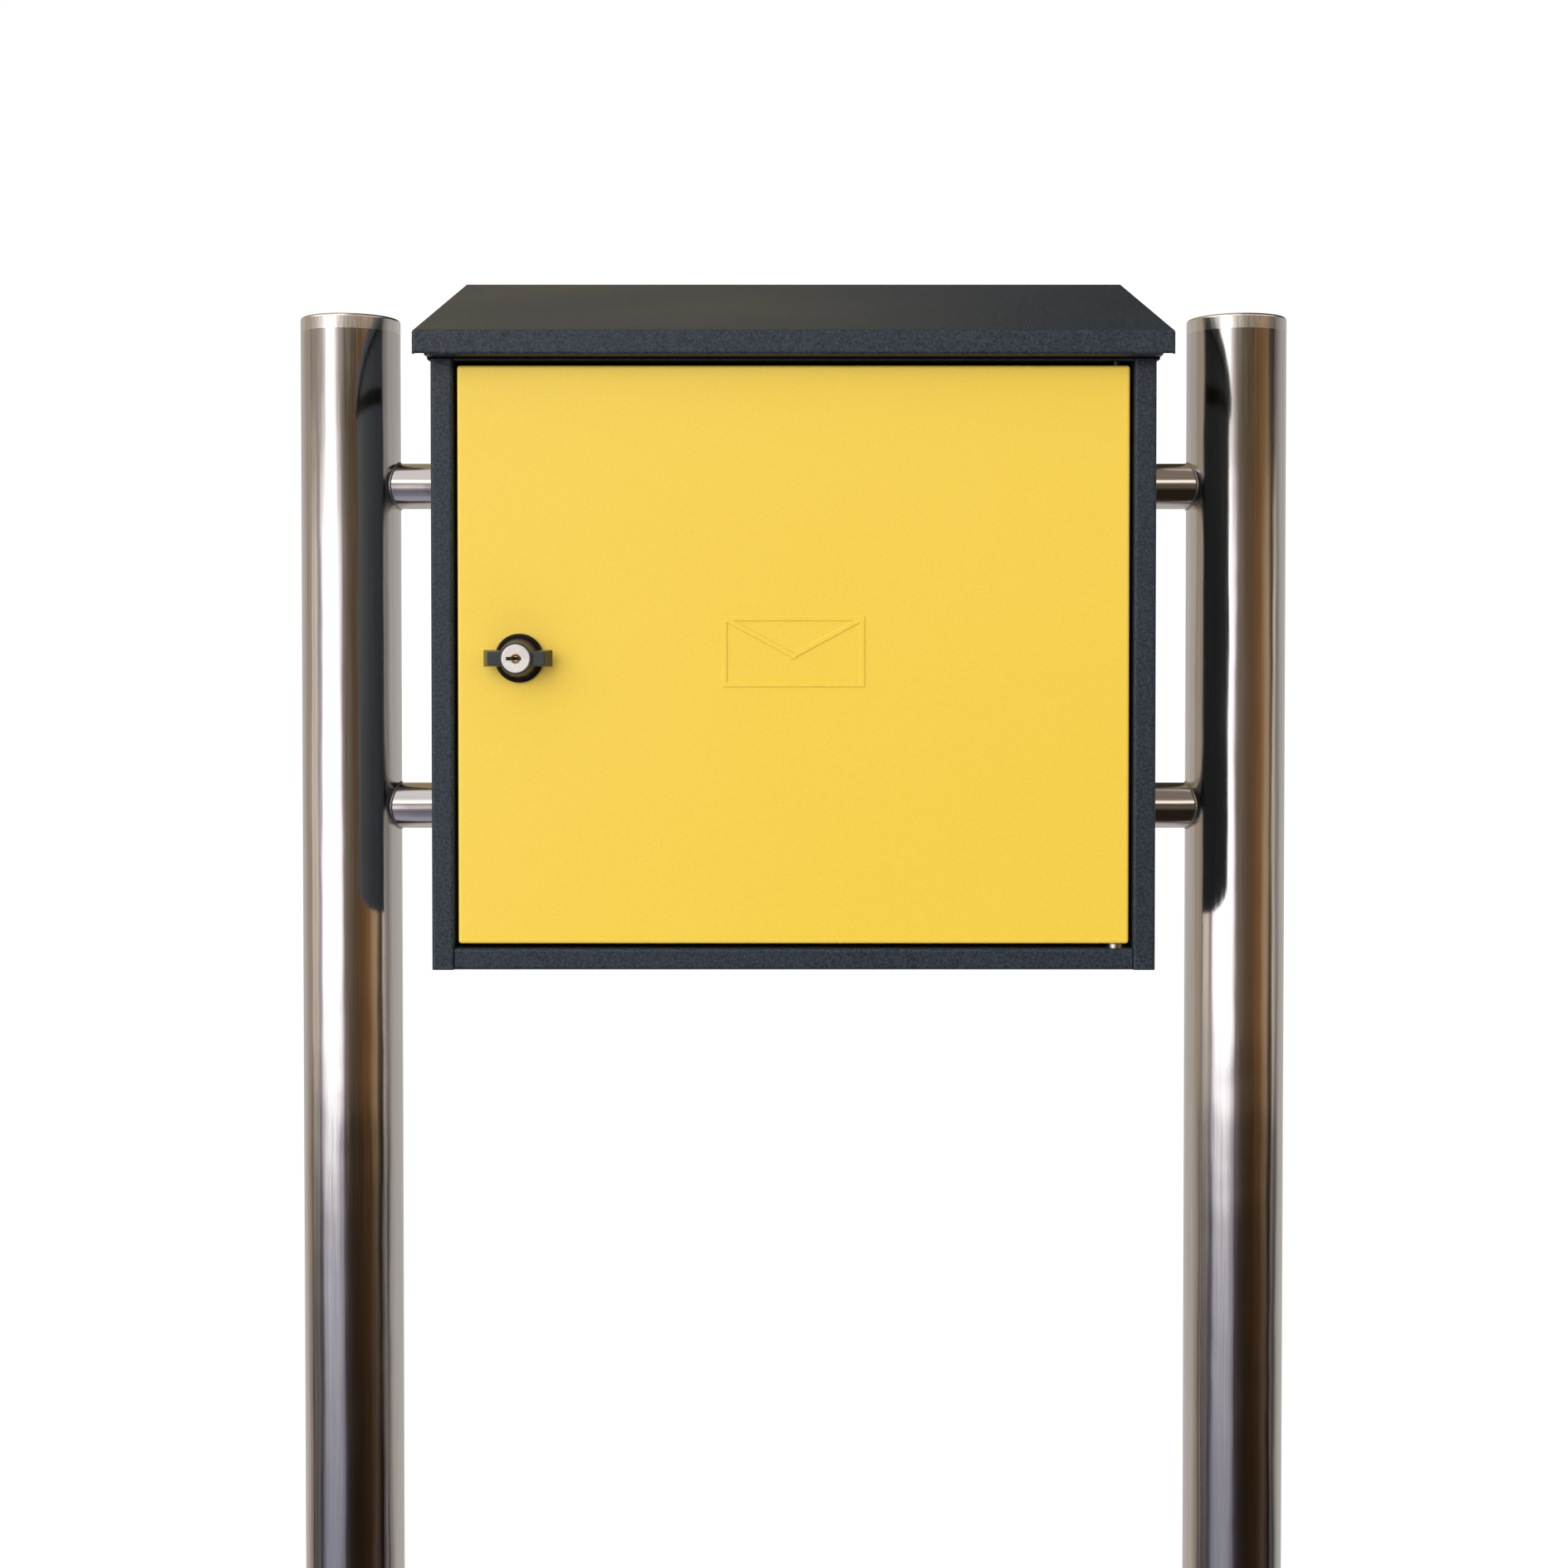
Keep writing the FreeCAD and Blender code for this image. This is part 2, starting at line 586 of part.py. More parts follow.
def lid_bumpers():
    """Soft feet on the deck's front edge that the lid comes down on."""
    pads = []
    for x in (-HALF + BUMPER_INSET, HALF - BUMPER_INSET):
        y = FRONT + BUMPER_SETBACK
        lowest = lid_top(y - BUMPER_DIAMETER / 2) - SHEET_RISE
        pads.append(rod(BUMPER_DIAMETER / 2, V(x, y, DECK_Z), Z, lowest - BUMPER_GAP - DECK_Z))
    return Part.makeCompound(pads)


def strip_block(grow):
    """The box's outline at the strip's height, grown by a thickness, with its front corners rounded."""
    z0 = LINTEL_Z + STRIP_ABOVE_RAIL_EDGE
    block = box(-HALF - grow, HALF + grow, FRONT - grow, BACK - STRIP_END, z0, z0 + STRIP_HEIGHT)

    def front_corner(e):
        return both_ends(e, lambda p: near(p.y, FRONT - grow)) and near(*[v.Point.x for v in e.Vertexes])

    return block.makeFillet(SHEET + BEND + grow, edges_where(block, front_corner))


def weather_strip():
    """A rubber strip stuck round the front and the sides, in the gap between the box and the lid."""
    return strip_block(STRIP).cut(strip_block(0.0))


def door_buffers():
    """Rubber dots on the strike lip that the closed door rests against."""
    dots = []
    for z in (CENTRE_Z - BUFFER_PITCH / 2, CENTRE_Z + BUFFER_PITCH / 2):
        start = V(-OPENING_HALF + (STRIKE_LIP + BEND) / 2, FRONT + JAMB, z)
        dots.append(rod(BUFFER_DIAMETER / 2, start, -Y, BUFFER_HEIGHT))
    return Part.makeCompound(dots)


def pivot_pins():
    """Headed pins fixed in the sill and the lintel, pointing into the door's flanges."""
    r, head = PIVOT_PIN / 2, PIVOT_HEAD / 2
    low = V(PIVOT_X, PIVOT_Y, SILL_Z - SHEET - PIVOT_HEAD_HEIGHT)
    lower = join(
        rod(head, low, Z, PIVOT_HEAD_HEIGHT),
        rod(r, low, Z, PIVOT_HEAD_HEIGHT + SHEET + DOOR_GAP + SHEET + PIVOT_REACH),
    )
    high = V(PIVOT_X, PIVOT_Y, LINTEL_Z + SHEET + PIVOT_HEAD_HEIGHT)
    upper = join(
        rod(head, high, -Z, PIVOT_HEAD_HEIGHT),
        rod(r, high, -Z, PIVOT_HEAD_HEIGHT + SHEET + DOOR_GAP + SHEET + PIVOT_REACH),
    )
    return Part.makeCompound([lower, upper])


def pivot_washer():
    """The thick washer on the lower pin, which carries the door."""
    lower = V(PIVOT_X, PIVOT_Y, SILL_Z)
    return ring(WASHER_DIAMETER / 2, PIVOT_PIN / 2, lower, Z, DOOR_GAP - WASHER_PLAY)


# ---------------------------------------------------------------- lid
def lid_block(inset, drop, radius):
    """The lid's outside moved inwards by inset and down to drop, with its folded edges rounded."""
    down = inset / math.cos(SLOPE)
    y0, y1 = LID_FRONT + inset, LID_REAR - inset
    half = LID_HALF - inset
    points = [
        V(-half, y0, lid_top(y0) - drop),
        V(-half, y0, lid_top(y0) - down),
        V(-half, y1, lid_top(y1) - down),
        V(-half, y1, lid_top(y1) - drop),
    ]
    block = prism(points, V(2 * half, 0, 0))

    def on_rim(p):
        return near(p.z, lid_top(p.y) - down)

    def folded_edge(e):
        upright = both_ends(e, lambda p: near(abs(p.x), half)) and near(*[v.Point.y for v in e.Vertexes])
        return both_ends(e, on_rim) or upright

    return block.makeFillet(radius, edges_where(block, folded_edge))


def lid_shell():
    """A sloping cover with folded front and side flanges, a front hem and a short rear lip."""
    hollow = lid_block(SHEET, 2 * LID_FLANGE, LID_EDGE_RADIUS - SHEET)
    shell = lid_block(0.0, LID_FLANGE, LID_EDGE_RADIUS).cut(hollow)
    # the rear flange is trimmed to the lip that meets the hinge's fixed leaf when the lid is open
    lip_end = HINGE_Z - REAR_LIP_DROP
    shell = shell.cut(box(-LID_HALF + SHEET, LID_HALF - SHEET, LID_REAR - 2 * SHEET, LID_REAR + SHEET,
                          lip_end - LID_FLANGE, lip_end))
    bottom = LID_Z0 - LID_FLANGE
    middle = LID_Z0 - LID_FLANGE / 2
    outline = [(LID_FRONT, middle), (LID_FRONT, bottom), (LID_FRONT + LID_HEM, bottom)]
    half = LID_HALF - LID_HEM_SETBACK
    hem = folded(outline, side_profile(-half), 2 * half)
    # the lower front edge is opened where the hem's fold takes its place
    shell = shell.cut(box(-half, half, LID_FRONT, LID_FRONT + SHEET, bottom, middle))
    return join(shell, hem)


def knuckle_spans(kind):
    """(start, length) of each knuckle; kind 0 is the fixed leaf, 1 the lid's leaf."""
    pitch = 2 * HINGE_HALF / KNUCKLES
    starts = [-HINGE_HALF + k * pitch + KNUCKLE_GAP / 2 for k in range(kind, KNUCKLES, 2)]
    return [(start, pitch - KNUCKLE_GAP) for start in starts]


def hinge_leaf(kind, plate):
    """Rolled knuckles joined to a flat plate, which is notched beside the other leaf's knuckles."""
    leaf = plate
    for start, length in knuckle_spans(1 - kind):
        notch = V(start - KNUCKLE_GAP, HINGE_Y, HINGE_Z)
        leaf = leaf.cut(rod(KNUCKLE_R + HINGE_STANDOFF, notch, X, length + 2 * KNUCKLE_GAP))
    for start, length in knuckle_spans(kind):
        leaf = leaf.fuse(rod(KNUCKLE_R, V(start, HINGE_Y, HINGE_Z), X, length))
    bore = rod(HINGE_PIN / 2 + HINGE_PLAY, V(-HALF, HINGE_Y, HINGE_Z), X, BODY_WIDTH)
    return leaf.cut(bore).removeSplitter()


def hinge_leaf_fixed():
    """Stands on the outer face of the back panel."""
    plate = box(-HINGE_HALF, HINGE_HALF, BACK, BACK + LEAF, HINGE_Z - LEAF_LENGTH, HINGE_Z)
    for x in rivet_xs():
        plate = plate.cut(rod(RIVET_DIAMETER / 2, V(x, BACK, HINGE_Z - RIVET_DROP), Y, LEAF))
    return hinge_leaf(0, plate)


def hinge_leaf_lid():
    """Lies against the lid's underside."""
    y0 = HINGE_Y - LEAF_LENGTH * math.cos(SLOPE)
    drop = SHEET_RISE
    down = LEAF / math.cos(SLOPE)
    points = [
        V(-HINGE_HALF, y0, lid_top(y0) - drop),
        V(-HINGE_HALF, HINGE_Y, lid_top(HINGE_Y) - drop),
        V(-HINGE_HALF, HINGE_Y, lid_top(HINGE_Y) - drop - down),
        V(-HINGE_HALF, y0, lid_top(y0) - drop - down),
    ]
    return hinge_leaf(1, prism(points, V(2 * HINGE_HALF, 0, 0)))


def hinge_pin():
    return rod(HINGE_PIN / 2, V(-HINGE_HALF, HINGE_Y, HINGE_Z), X, 2 * HINGE_HALF)


def rivet_xs():
    pitch = 2 * HINGE_HALF / RIVETS
    return [-HINGE_HALF + (k + 0.5) * pitch for k in range(RIVETS)]


def hinge_rivets():
    """Blind rivets through the fixed leaf and the back panel."""
    rivets = []
    for x in rivet_xs():
        z = HINGE_Z - RIVET_DROP
        outside = BACK + LEAF
        head = rod(RIVET_HEAD / 2, V(x, outside, z), Y, RIVET_HEAD_HEIGHT)
        rim = edges_where(head, lambda e: e.Closed and near(e.CenterOfMass.y, outside + RIVET_HEAD_HEIGHT))
        head = head.makeFillet(RIVET_HEAD_HEIGHT / 2, rim)
        shank = rod(RIVET_DIAMETER / 2, V(x, outside, z), -Y, LEAF + SHEET)
        tail = rod(RIVET_TAIL / 2, V(x, INNER_BACK, z), -Y, RIVET_TAIL_HEIGHT)
        rivets.append(join(head, shank, tail))
    return Part.makeCompound(rivets)


# ---------------------------------------------------------------- door
def tapered_bar(a, b, width):
    """A raised stroke on the door's face between two (x, z) points, narrowing towards the front."""
    along = V(b[0] - a[0], 0, b[1] - a[1])
    across = along.cross(Y).normalize()
    outlines = []
    for y, half in ((FRONT, width / 2), (FRONT - EMBLEM_RAISE, width / 2 - EMBLEM_TAPER)):
        ends = (V(a[0], y, a[1]), V(b[0], y, b[1]))
        corners = [ends[0] + across * half, ends[1] + across * half,
                   ends[1] - across * half, ends[0] - across * half]
        outlines.append(Part.makePolygon(corners + [corners[0]]))
    return Part.makeLoft(outlines, True, True)


def tapered_block(width, height, grow):
    """A block on the door's face around the emblem's centre whose front is wider by grow a side."""
    zc = CENTRE_Z + EMBLEM_ABOVE_CENTRE
    outlines = []
    for y, g in ((FRONT, 0.0), (FRONT - EMBLEM_RAISE, grow)):
        w, h = width / 2 + g, height / 2 + g
        corners = [V(-w, y, zc - h), V(w, y, zc - h), V(w, y, zc + h), V(-w, y, zc + h)]
        outlines.append(Part.makePolygon(corners + [corners[0]]))
    return Part.makeLoft(outlines, True, True)


def emblem():
    """A raised envelope outline: a rectangular ring with a V-shaped flap."""
    zc = CENTRE_Z + EMBLEM_ABOVE_CENTRE
    w, h = EMBLEM_WIDTH / 2, EMBLEM_HEIGHT / 2
    outer = tapered_block(EMBLEM_WIDTH, EMBLEM_HEIGHT, -EMBLEM_TAPER)
    pocket = tapered_block(EMBLEM_WIDTH - 2 * EMBLEM_STROKE, EMBLEM_HEIGHT - 2 * EMBLEM_STROKE, EMBLEM_TAPER)
    mid = EMBLEM_STROKE / 2
    point = (0.0, zc + h - EMBLEM_FLAP * EMBLEM_HEIGHT)
    flap = []
    for s in (-1, 1):
        corner = (s * (w - mid), zc + h - mid)
        flap.append(tapered_bar(corner, point, EMBLEM_STROKE))
    peak = tapered_bar((point[0], point[1] - mid), (point[0], point[1] + mid), EMBLEM_STROKE)
    flap_inside = join(*flap, peak).common(outer)
    return join(outer.cut(pocket), flap_inside)


def door_skin():
    """A shallow tray: the yellow face, flanges all round and inward lips at both sides."""
    y1 = FRONT + DOOR_DEPTH
    block = box(-DOOR_HALF, DOOR_HALF, FRONT, y1, DOOR_Z0, DOOR_Z1)
    outer_edges = edges_where(block, lambda e: not both_ends(e, lambda p: near(p.y, y1)))
    block = block.makeFillet(DOOR_EDGE_RADIUS, outer_edges)
    inner = box(-DOOR_HALF + SHEET, DOOR_HALF - SHEET, FRONT + SHEET, y1 + SHEET,
                DOOR_Z0 + SHEET, DOOR_Z1 - SHEET)
    inner_edges = edges_where(inner, lambda e: not both_ends(e, lambda p: near(p.y, y1 + SHEET)))
    tray = block.cut(inner.makeFillet(DOOR_EDGE_RADIUS - SHEET, inner_edges))
    lips = []
    for s in (-1, 1):
        x0, x1 = sorted((s * (DOOR_HALF - SHEET / 2), s * (DOOR_HALF - DOOR_LIP)))
        lips.append(box(x0, x1, y1 - SHEET, y1, DOOR_Z0 + 3 * SHEET, DOOR_Z1 - 3 * SHEET))
    door = join(tray, *lips, emblem())
    door = door.cut(rod(BARREL_DIAMETER / 2 + THREAD_PLAY, V(LOCK_X, FRONT - SHEET, LOCK_Z), Y, 4 * SHEET))
    for z in (DOOR_Z0 - SHEET, DOOR_Z1 - 2 * SHEET):
        door = door.cut(rod(PIVOT_PIN / 2 + PIVOT_PLAY, V(PIVOT_X, PIVOT_Y, z), Z, 3 * SHEET))
    return door


# ---------------------------------------------------------------- lock
def lock_point(y):
    return V(LOCK_X, y, LOCK_Z)


def lock_housing():
    """The ring on the door's face and the threaded barrel behind it, with a stepped bore."""
    flange = rod(RING_DIAMETER / 2, lock_point(RING_FACE), Y, RING_THICKNESS)
    rim = edges_where(flange, lambda e: e.Closed and near(e.CenterOfMass.y, RING_FACE))
    flange = flange.makeFillet(RING_THICKNESS / 3, rim)
    barrel = rod(BARREL_DIAMETER / 2, lock_point(FRONT), Y, BARREL_END - FRONT)
    bore = rod(ROTOR_DIAMETER / 2 + ROTOR_PLAY, lock_point(RING_FACE), Y, BARREL_END - RING_FACE)
    return join(flange, barrel).cut(bore)


def lock_nut():
    nut = hexagon(NUT_ACROSS_FLATS, lock_point(FRONT + SHEET), NUT_THICKNESS)
    return nut.cut(rod(BARREL_DIAMETER / 2 + THREAD_PLAY, lock_point(FRONT), Y, 3 * NUT_THICKNESS))


def lock_rotor():
    """The turning core: carries the key plug in front and ends in a square for the cam."""
    core = rod(ROTOR_DIAMETER / 2, lock_point(ROTOR_FRONT), Y, SQUARE_START - ROTOR_FRONT)
    s = CAM_SQUARE / 2
    square_end = CAM_FRONT + CAM_THICKNESS - CAM_SQUARE_SHORT
    square = box(LOCK_X - s, LOCK_X + s, SQUARE_START, square_end, LOCK_Z - s, LOCK_Z + s)
    core = join(core, square)
    core = core.cut(rod(PLUG_DIAMETER / 2 + PLUG_PLAY, lock_point(ROTOR_FRONT), Y, PLUG_LENGTH + PLUG_PLAY))
    tapped = CAM_SCREW / 2 + THREAD_PLAY
    length = CAM_SCREW_LENGTH + NUT_HOLE_SPARE
    return core.cut(rod(tapped, lock_point(CAM_FRONT + CAM_THICKNESS - length), Y, length))


def knob_cap():
    """The moulded wing knob, a cone with two wings whose ends slope down towards the door."""
    cone = Part.makeCone(KNOB_BASE_DIAMETER / 2, KNOB_FACE_DIAMETER / 2, KNOB_BASE - KNOB_FACE,
                         lock_point(KNOB_BASE), -Y)
    face_edge = edges_where(cone, lambda e: e.Closed and near(e.CenterOfMass.y, KNOB_FACE))
    cone = cone.makeFillet(KNOB_EDGE_RADIUS, face_edge)
    outlines = []
    for y, span, width in (
        (KNOB_BASE - WING_LIFT, WING_SPAN, WING_WIDTH),
        (KNOB_FACE + WING_SETBACK, WING_FACE_SPAN, WING_FACE_WIDTH),
    ):
        w, h = span / 2, width / 2
        corners = [lock_point(y) + V(-w, 0, -h), lock_point(y) + V(w, 0, -h),
                   lock_point(y) + V(w, 0, h), lock_point(y) + V(-w, 0, h)]
        outlines.append(Part.makePolygon(corners + [corners[0]]))
    wings = Part.makeLoft(outlines, True, True)
    wings = wings.makeFillet(WING_EDGE_RADIUS, wings.Edges)
    knob = join(cone, wings)
    # the core passes through, and the plug's head sits in a counterbore at the face
    through = rod(ROTOR_DIAMETER / 2 + KNOB_FIT, lock_point(KNOB_FACE), Y, KNOB_LENGTH)
    counterbore = rod(PLUG_HEAD_DIAMETER / 2 + PLUG_PLAY, lock_point(KNOB_FACE), Y,
                      PLUG_HEAD_THICKNESS + PLUG_PLAY)
    return knob.cut(through).cut(counterbore)


def wafer_y(k):
    return PLUG_SEAT + WAFER_START + k * WAFER_PITCH


def key_plug():
    """A round head and core with a keyway, a recess around it and slots for the wafers."""
    face = KNOB_FACE - PLUG_PROUD
    head = rod(PLUG_HEAD_DIAMETER / 2, lock_point(face), Y, PLUG_SEAT - face)
    rim = edges_where(head, lambda e: e.Closed and near(e.CenterOfMass.y, face))
    head = head.makeFillet(KNOB_EDGE_RADIUS, rim)
    core = rod(PLUG_DIAMETER / 2, lock_point(PLUG_SEAT), Y, PLUG_LENGTH)
    plug = join(head, core)
    plug = plug.cut(rod(KEY_RECESS / 2, lock_point(face), Y, KEY_RECESS_DEPTH))
    half, left = KEYWAY_WIDTH / 2, LOCK_X - KEYWAY_LEFT
    keyway = box(left, left + KEYWAY_LENGTH, face, KNOB_FACE + KEYWAY_DEPTH, LOCK_Z - half, LOCK_Z + half)
    plug = plug.cut(keyway)
    for k in range(len(WAFER_SHIFTS)):
        plug = plug.cut(wafer_blank(k, WAFER_PLAY))
    return plug


def wafer_blank(k, play):
    """A thin plate across the plug, with play all round."""
    half_x = WAFER_WIDTH / 2 + play
    half_z = WAFER_HEIGHT / 2 + play
    y = wafer_y(k)
    return box(LOCK_X - half_x, LOCK_X + half_x, y - play, y + WAFER_THICKNESS + play,
               LOCK_Z - half_z, LOCK_Z + half_z)


def lock_wafers():
    """The sliding plates that the key lines up, each with its window at its own place."""
    wafers = []
    for k, shift in enumerate(WAFER_SHIFTS):
        y = wafer_y(k)
        x = LOCK_X + shift
        window = box(x - WAFER_WINDOW / 2, x + WAFER_WINDOW / 2, y, y + WAFER_THICKNESS,
                     LOCK_Z - KEYWAY_WIDTH / 2, LOCK_Z + KEYWAY_WIDTH / 2)
        wafers.append(wafer_blank(k, 0.0).cut(window))
    return Part.makeCompound(wafers)


def cam():
    """The flat latch arm. It hangs down when the door is free to open."""
    half, tip_half = CAM_WIDTH / 2, CAM_TIP_WIDTH / 2
    y0, y1 = CAM_FRONT, CAM_FRONT + CAM_THICKNESS
    tip = LOCK_Z - CAM_REACH
    shoulder = tip + CAM_TIP_LENGTH
    outline = [
        V(LOCK_X - half, y0, LOCK_Z),
        V(LOCK_X - half, y0, shoulder),
        V(LOCK_X - tip_half, y0, tip),
        V(LOCK_X + tip_half, y0, tip),
        V(LOCK_X + half, y0, shoulder),
        V(LOCK_X + half, y0, LOCK_Z),
    ]
    plate = join(rod(half, lock_point(y0), Y, CAM_THICKNESS), prism(outline, V(0, CAM_THICKNESS, 0)))
    s = CAM_SQUARE / 2 + SQUARE_PLAY
    return plate.cut(box(LOCK_X - s, LOCK_X + s, y0, y1, LOCK_Z - s, LOCK_Z + s))


def cam_washer():
    start = lock_point(CAM_FRONT + CAM_THICKNESS)
    return ring(CAM_WASHER_DIAMETER / 2, CAM_SCREW / 2 + THREAD_PLAY, start, Y, CAM_WASHER_THICKNESS)


def cam_screw():
    """A pan-head screw with a cross recess that clamps the washer and cam on the core's square."""
    seat = CAM_FRONT + CAM_THICKNESS + CAM_WASHER_THICKNESS
    head = rod(CAM_SCREW_HEAD / 2, lock_point(seat), Y, CAM_SCREW_HEAD_HEIGHT)
    top = edges_where(head, lambda e: e.Closed and near(e.CenterOfMass.y, seat + CAM_SCREW_HEAD_HEIGHT))
    head = head.makeFillet(CAM_SCREW_EDGE, top)
    shank_length = CAM_SCREW_LENGTH + CAM_WASHER_THICKNESS
    shank = rod(CAM_SCREW / 2, lock_point(seat - shank_length), Y, shank_length)
    screw = join(head, shank)
    end = seat + CAM_SCREW_HEAD_HEIGHT
    for dx, dz in ((CROSS_LENGTH / 2, CROSS_WIDTH / 2), (CROSS_WIDTH / 2, CROSS_LENGTH / 2)):
        recess = box(LOCK_X - dx, LOCK_X + dx, end - CROSS_DEPTH, end, LOCK_Z - dz, LOCK_Z + dz)
        screw = screw.cut(recess)
    return screw


# ---------------------------------------------------------------- every node
def flat_list(groups):
    return Part.makeCompound([piece for group in groups for piece in group])


NODES = {
    "post_left": lambda: post(-POST_X),
    "post_right": lambda: post(POST_X),
    "post_cap_left": lambda: post_cap(-POST_X),
    "post_cap_right": lambda: post_cap(POST_X),
    "base_flange_left": lambda: base_flange(-POST_X),
    "base_flange_right": lambda: base_flange(POST_X),
    "crossbar_upper": lambda: crossbar(BAR_ZS[0]),
    "crossbar_lower": lambda: crossbar(BAR_ZS[1]),
    "front_saddles": lambda: at_each_bolt(front_saddle),
    "rear_saddles": lambda: at_each_bolt(rear_saddle),
    "mounting_bolts": lambda: at_each_bolt(bolt),
    "mounting_washers": lambda: flat_list(bolt_washer_pair(x, z) for z in BAR_ZS for x in BOLT_XS),
    "cap_nuts": lambda: at_each_bolt(cap_nut),
    "side_panel_left": lambda: side_panel(True),
    "side_panel_right": lambda: mirrored(side_panel(False)),
    "back_panel": back_panel,
    "bottom_panel": bottom_panel,
    "slot_deck": slot_deck,
    "lid_bumpers": lid_bumpers,
    "weather_strip": weather_strip,
    "door_buffers": door_buffers,
    "pivot_pins": pivot_pins,
    "pivot_washer": pivot_washer,
    "lid_shell": lid_shell,
    "hinge_leaf_fixed": hinge_leaf_fixed,
    "hinge_leaf_lid": hinge_leaf_lid,
    "hinge_pin": hinge_pin,
    "hinge_rivets": hinge_rivets,
    "door_skin": door_skin,
    "lock_housing": lock_housing,
    "lock_nut": lock_nut,
    "lock_rotor": lock_rotor,
    "knob_cap": knob_cap,
    "key_plug": key_plug,
    "lock_wafers": lock_wafers,
    "cam": cam,
    "cam_washer": cam_washer,
    "cam_screw": cam_screw,
}

os.makedirs("parts", exist_ok=True)
for name, make in NODES.items():
    shape = make()
    solids = shape.Solids
    sound = all(s.isValid() and s.Volume > 0 for s in solids)
    print(f"{name:20s} solids {len(solids)}  volume {sum(s.Volume for s in solids):12.1f}  sound {sound}")
    shape.exportStep(f"parts/{name}.step")
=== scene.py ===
import bpy, bmesh, json, math
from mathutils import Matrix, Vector

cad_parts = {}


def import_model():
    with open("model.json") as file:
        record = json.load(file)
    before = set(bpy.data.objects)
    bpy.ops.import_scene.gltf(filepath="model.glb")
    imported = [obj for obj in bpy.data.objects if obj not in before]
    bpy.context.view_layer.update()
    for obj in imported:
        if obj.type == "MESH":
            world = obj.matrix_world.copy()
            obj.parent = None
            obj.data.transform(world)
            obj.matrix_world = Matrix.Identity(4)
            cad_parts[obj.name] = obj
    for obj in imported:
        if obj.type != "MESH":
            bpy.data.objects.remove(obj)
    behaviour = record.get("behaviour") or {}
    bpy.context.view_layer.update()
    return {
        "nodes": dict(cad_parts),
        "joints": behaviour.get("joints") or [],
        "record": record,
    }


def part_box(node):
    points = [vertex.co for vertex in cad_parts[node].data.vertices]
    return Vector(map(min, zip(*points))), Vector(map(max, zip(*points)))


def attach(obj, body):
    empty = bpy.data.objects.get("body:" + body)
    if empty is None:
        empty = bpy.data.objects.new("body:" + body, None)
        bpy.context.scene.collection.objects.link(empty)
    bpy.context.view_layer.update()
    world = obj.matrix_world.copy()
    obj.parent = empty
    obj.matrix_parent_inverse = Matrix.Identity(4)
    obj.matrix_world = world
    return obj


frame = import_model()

NODES = frame["nodes"]


# ------------------------------------------------------------------ places taken from the CAD
def span(node):
    lo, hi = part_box(node)
    return Vector(lo), Vector(hi)


POSTS = {side: span("post_" + side) for side in ("left", "right")}
BARS = {which: span("crossbar_" + which) for which in ("upper", "lower")}
FLANGE_TOP = span("base_flange_left")[1].z
PLUG_FACE = span("key_plug")[0].y
FRONT = span("side_panel_left")[0].y
LOCK = Vector(next(j for j in frame["joints"] if j["name"] == "knob_turn")["pos_m"])

# ------------------------------------------------------------------ sizes of the added detail, in metres
BROKEN_EDGE = 0.00035
SHARP_ANGLE = math.radians(40)
BAR_BEAD = {"radius": 0.0009, "sides": 10, "ripple": 0.22, "pitch": 0.0018}
BAR_BEAD_STEPS = 220
BASE_BEAD = {"radius": 0.0022, "sides": 12, "ripple": 0.2, "pitch": 0.0032}
BASE_BEAD_STEPS = 420
BASE_BEAD_LIFT = 0.0004
BUSH_SLIT = 0.00098          # half of the gap between the bush's two crescents
BUSH_STEPS = 24
# radius and depth behind the plug's face, once round the crescent's section
BUSH_SECTION = ((0.00266, 0.00018), (0.0023, 0.00012), (0.00135, 0.00105), (0.00135, 0.00122),
                (0.00266, 0.00122))

# ------------------------------------------------------------------ studio
FLOOR_RADIUS = 3.0
FLOOR_FADE = (0.5, 1.7)      # the floor melts into the white backdrop between these distances
FLOOR_GLOW = 0.45
BACKDROP = 1.02
LENS_MM = 44.447
SENSOR_MM = 36.0
SHIFT = (-0.00609, -0.08157)
CAMERA_DISTANCE = 1.027      # in front of the box's front face
CAMERA_HEIGHT = 1.014
CAMERA_TILT = math.radians(89.0)

# name, place, aim, size, power, colour
SOFTBOXES = (
    ("key", (-1.2, -2.9, 2.5), (0, -0.1, 0.98), (3.4, 2.4), 38.0, (1.0, 0.985, 0.96)),
    ("fill", (2.0, -2.6, 1.2), (0, -0.1, 0.9), (2.4, 2.2), 10.0, (1.0, 0.98, 0.95)),
    ("overhead", (0.0, 0.6, 3.4), (0, 0.9, 0.0), (4.0, 4.0), 28.0, (1, 1, 1)),
    ("rear", (0.8, 2.8, 1.9), (0, 0, 0.9), (2.4, 1.8), 16.0, (1, 1, 1)),
)

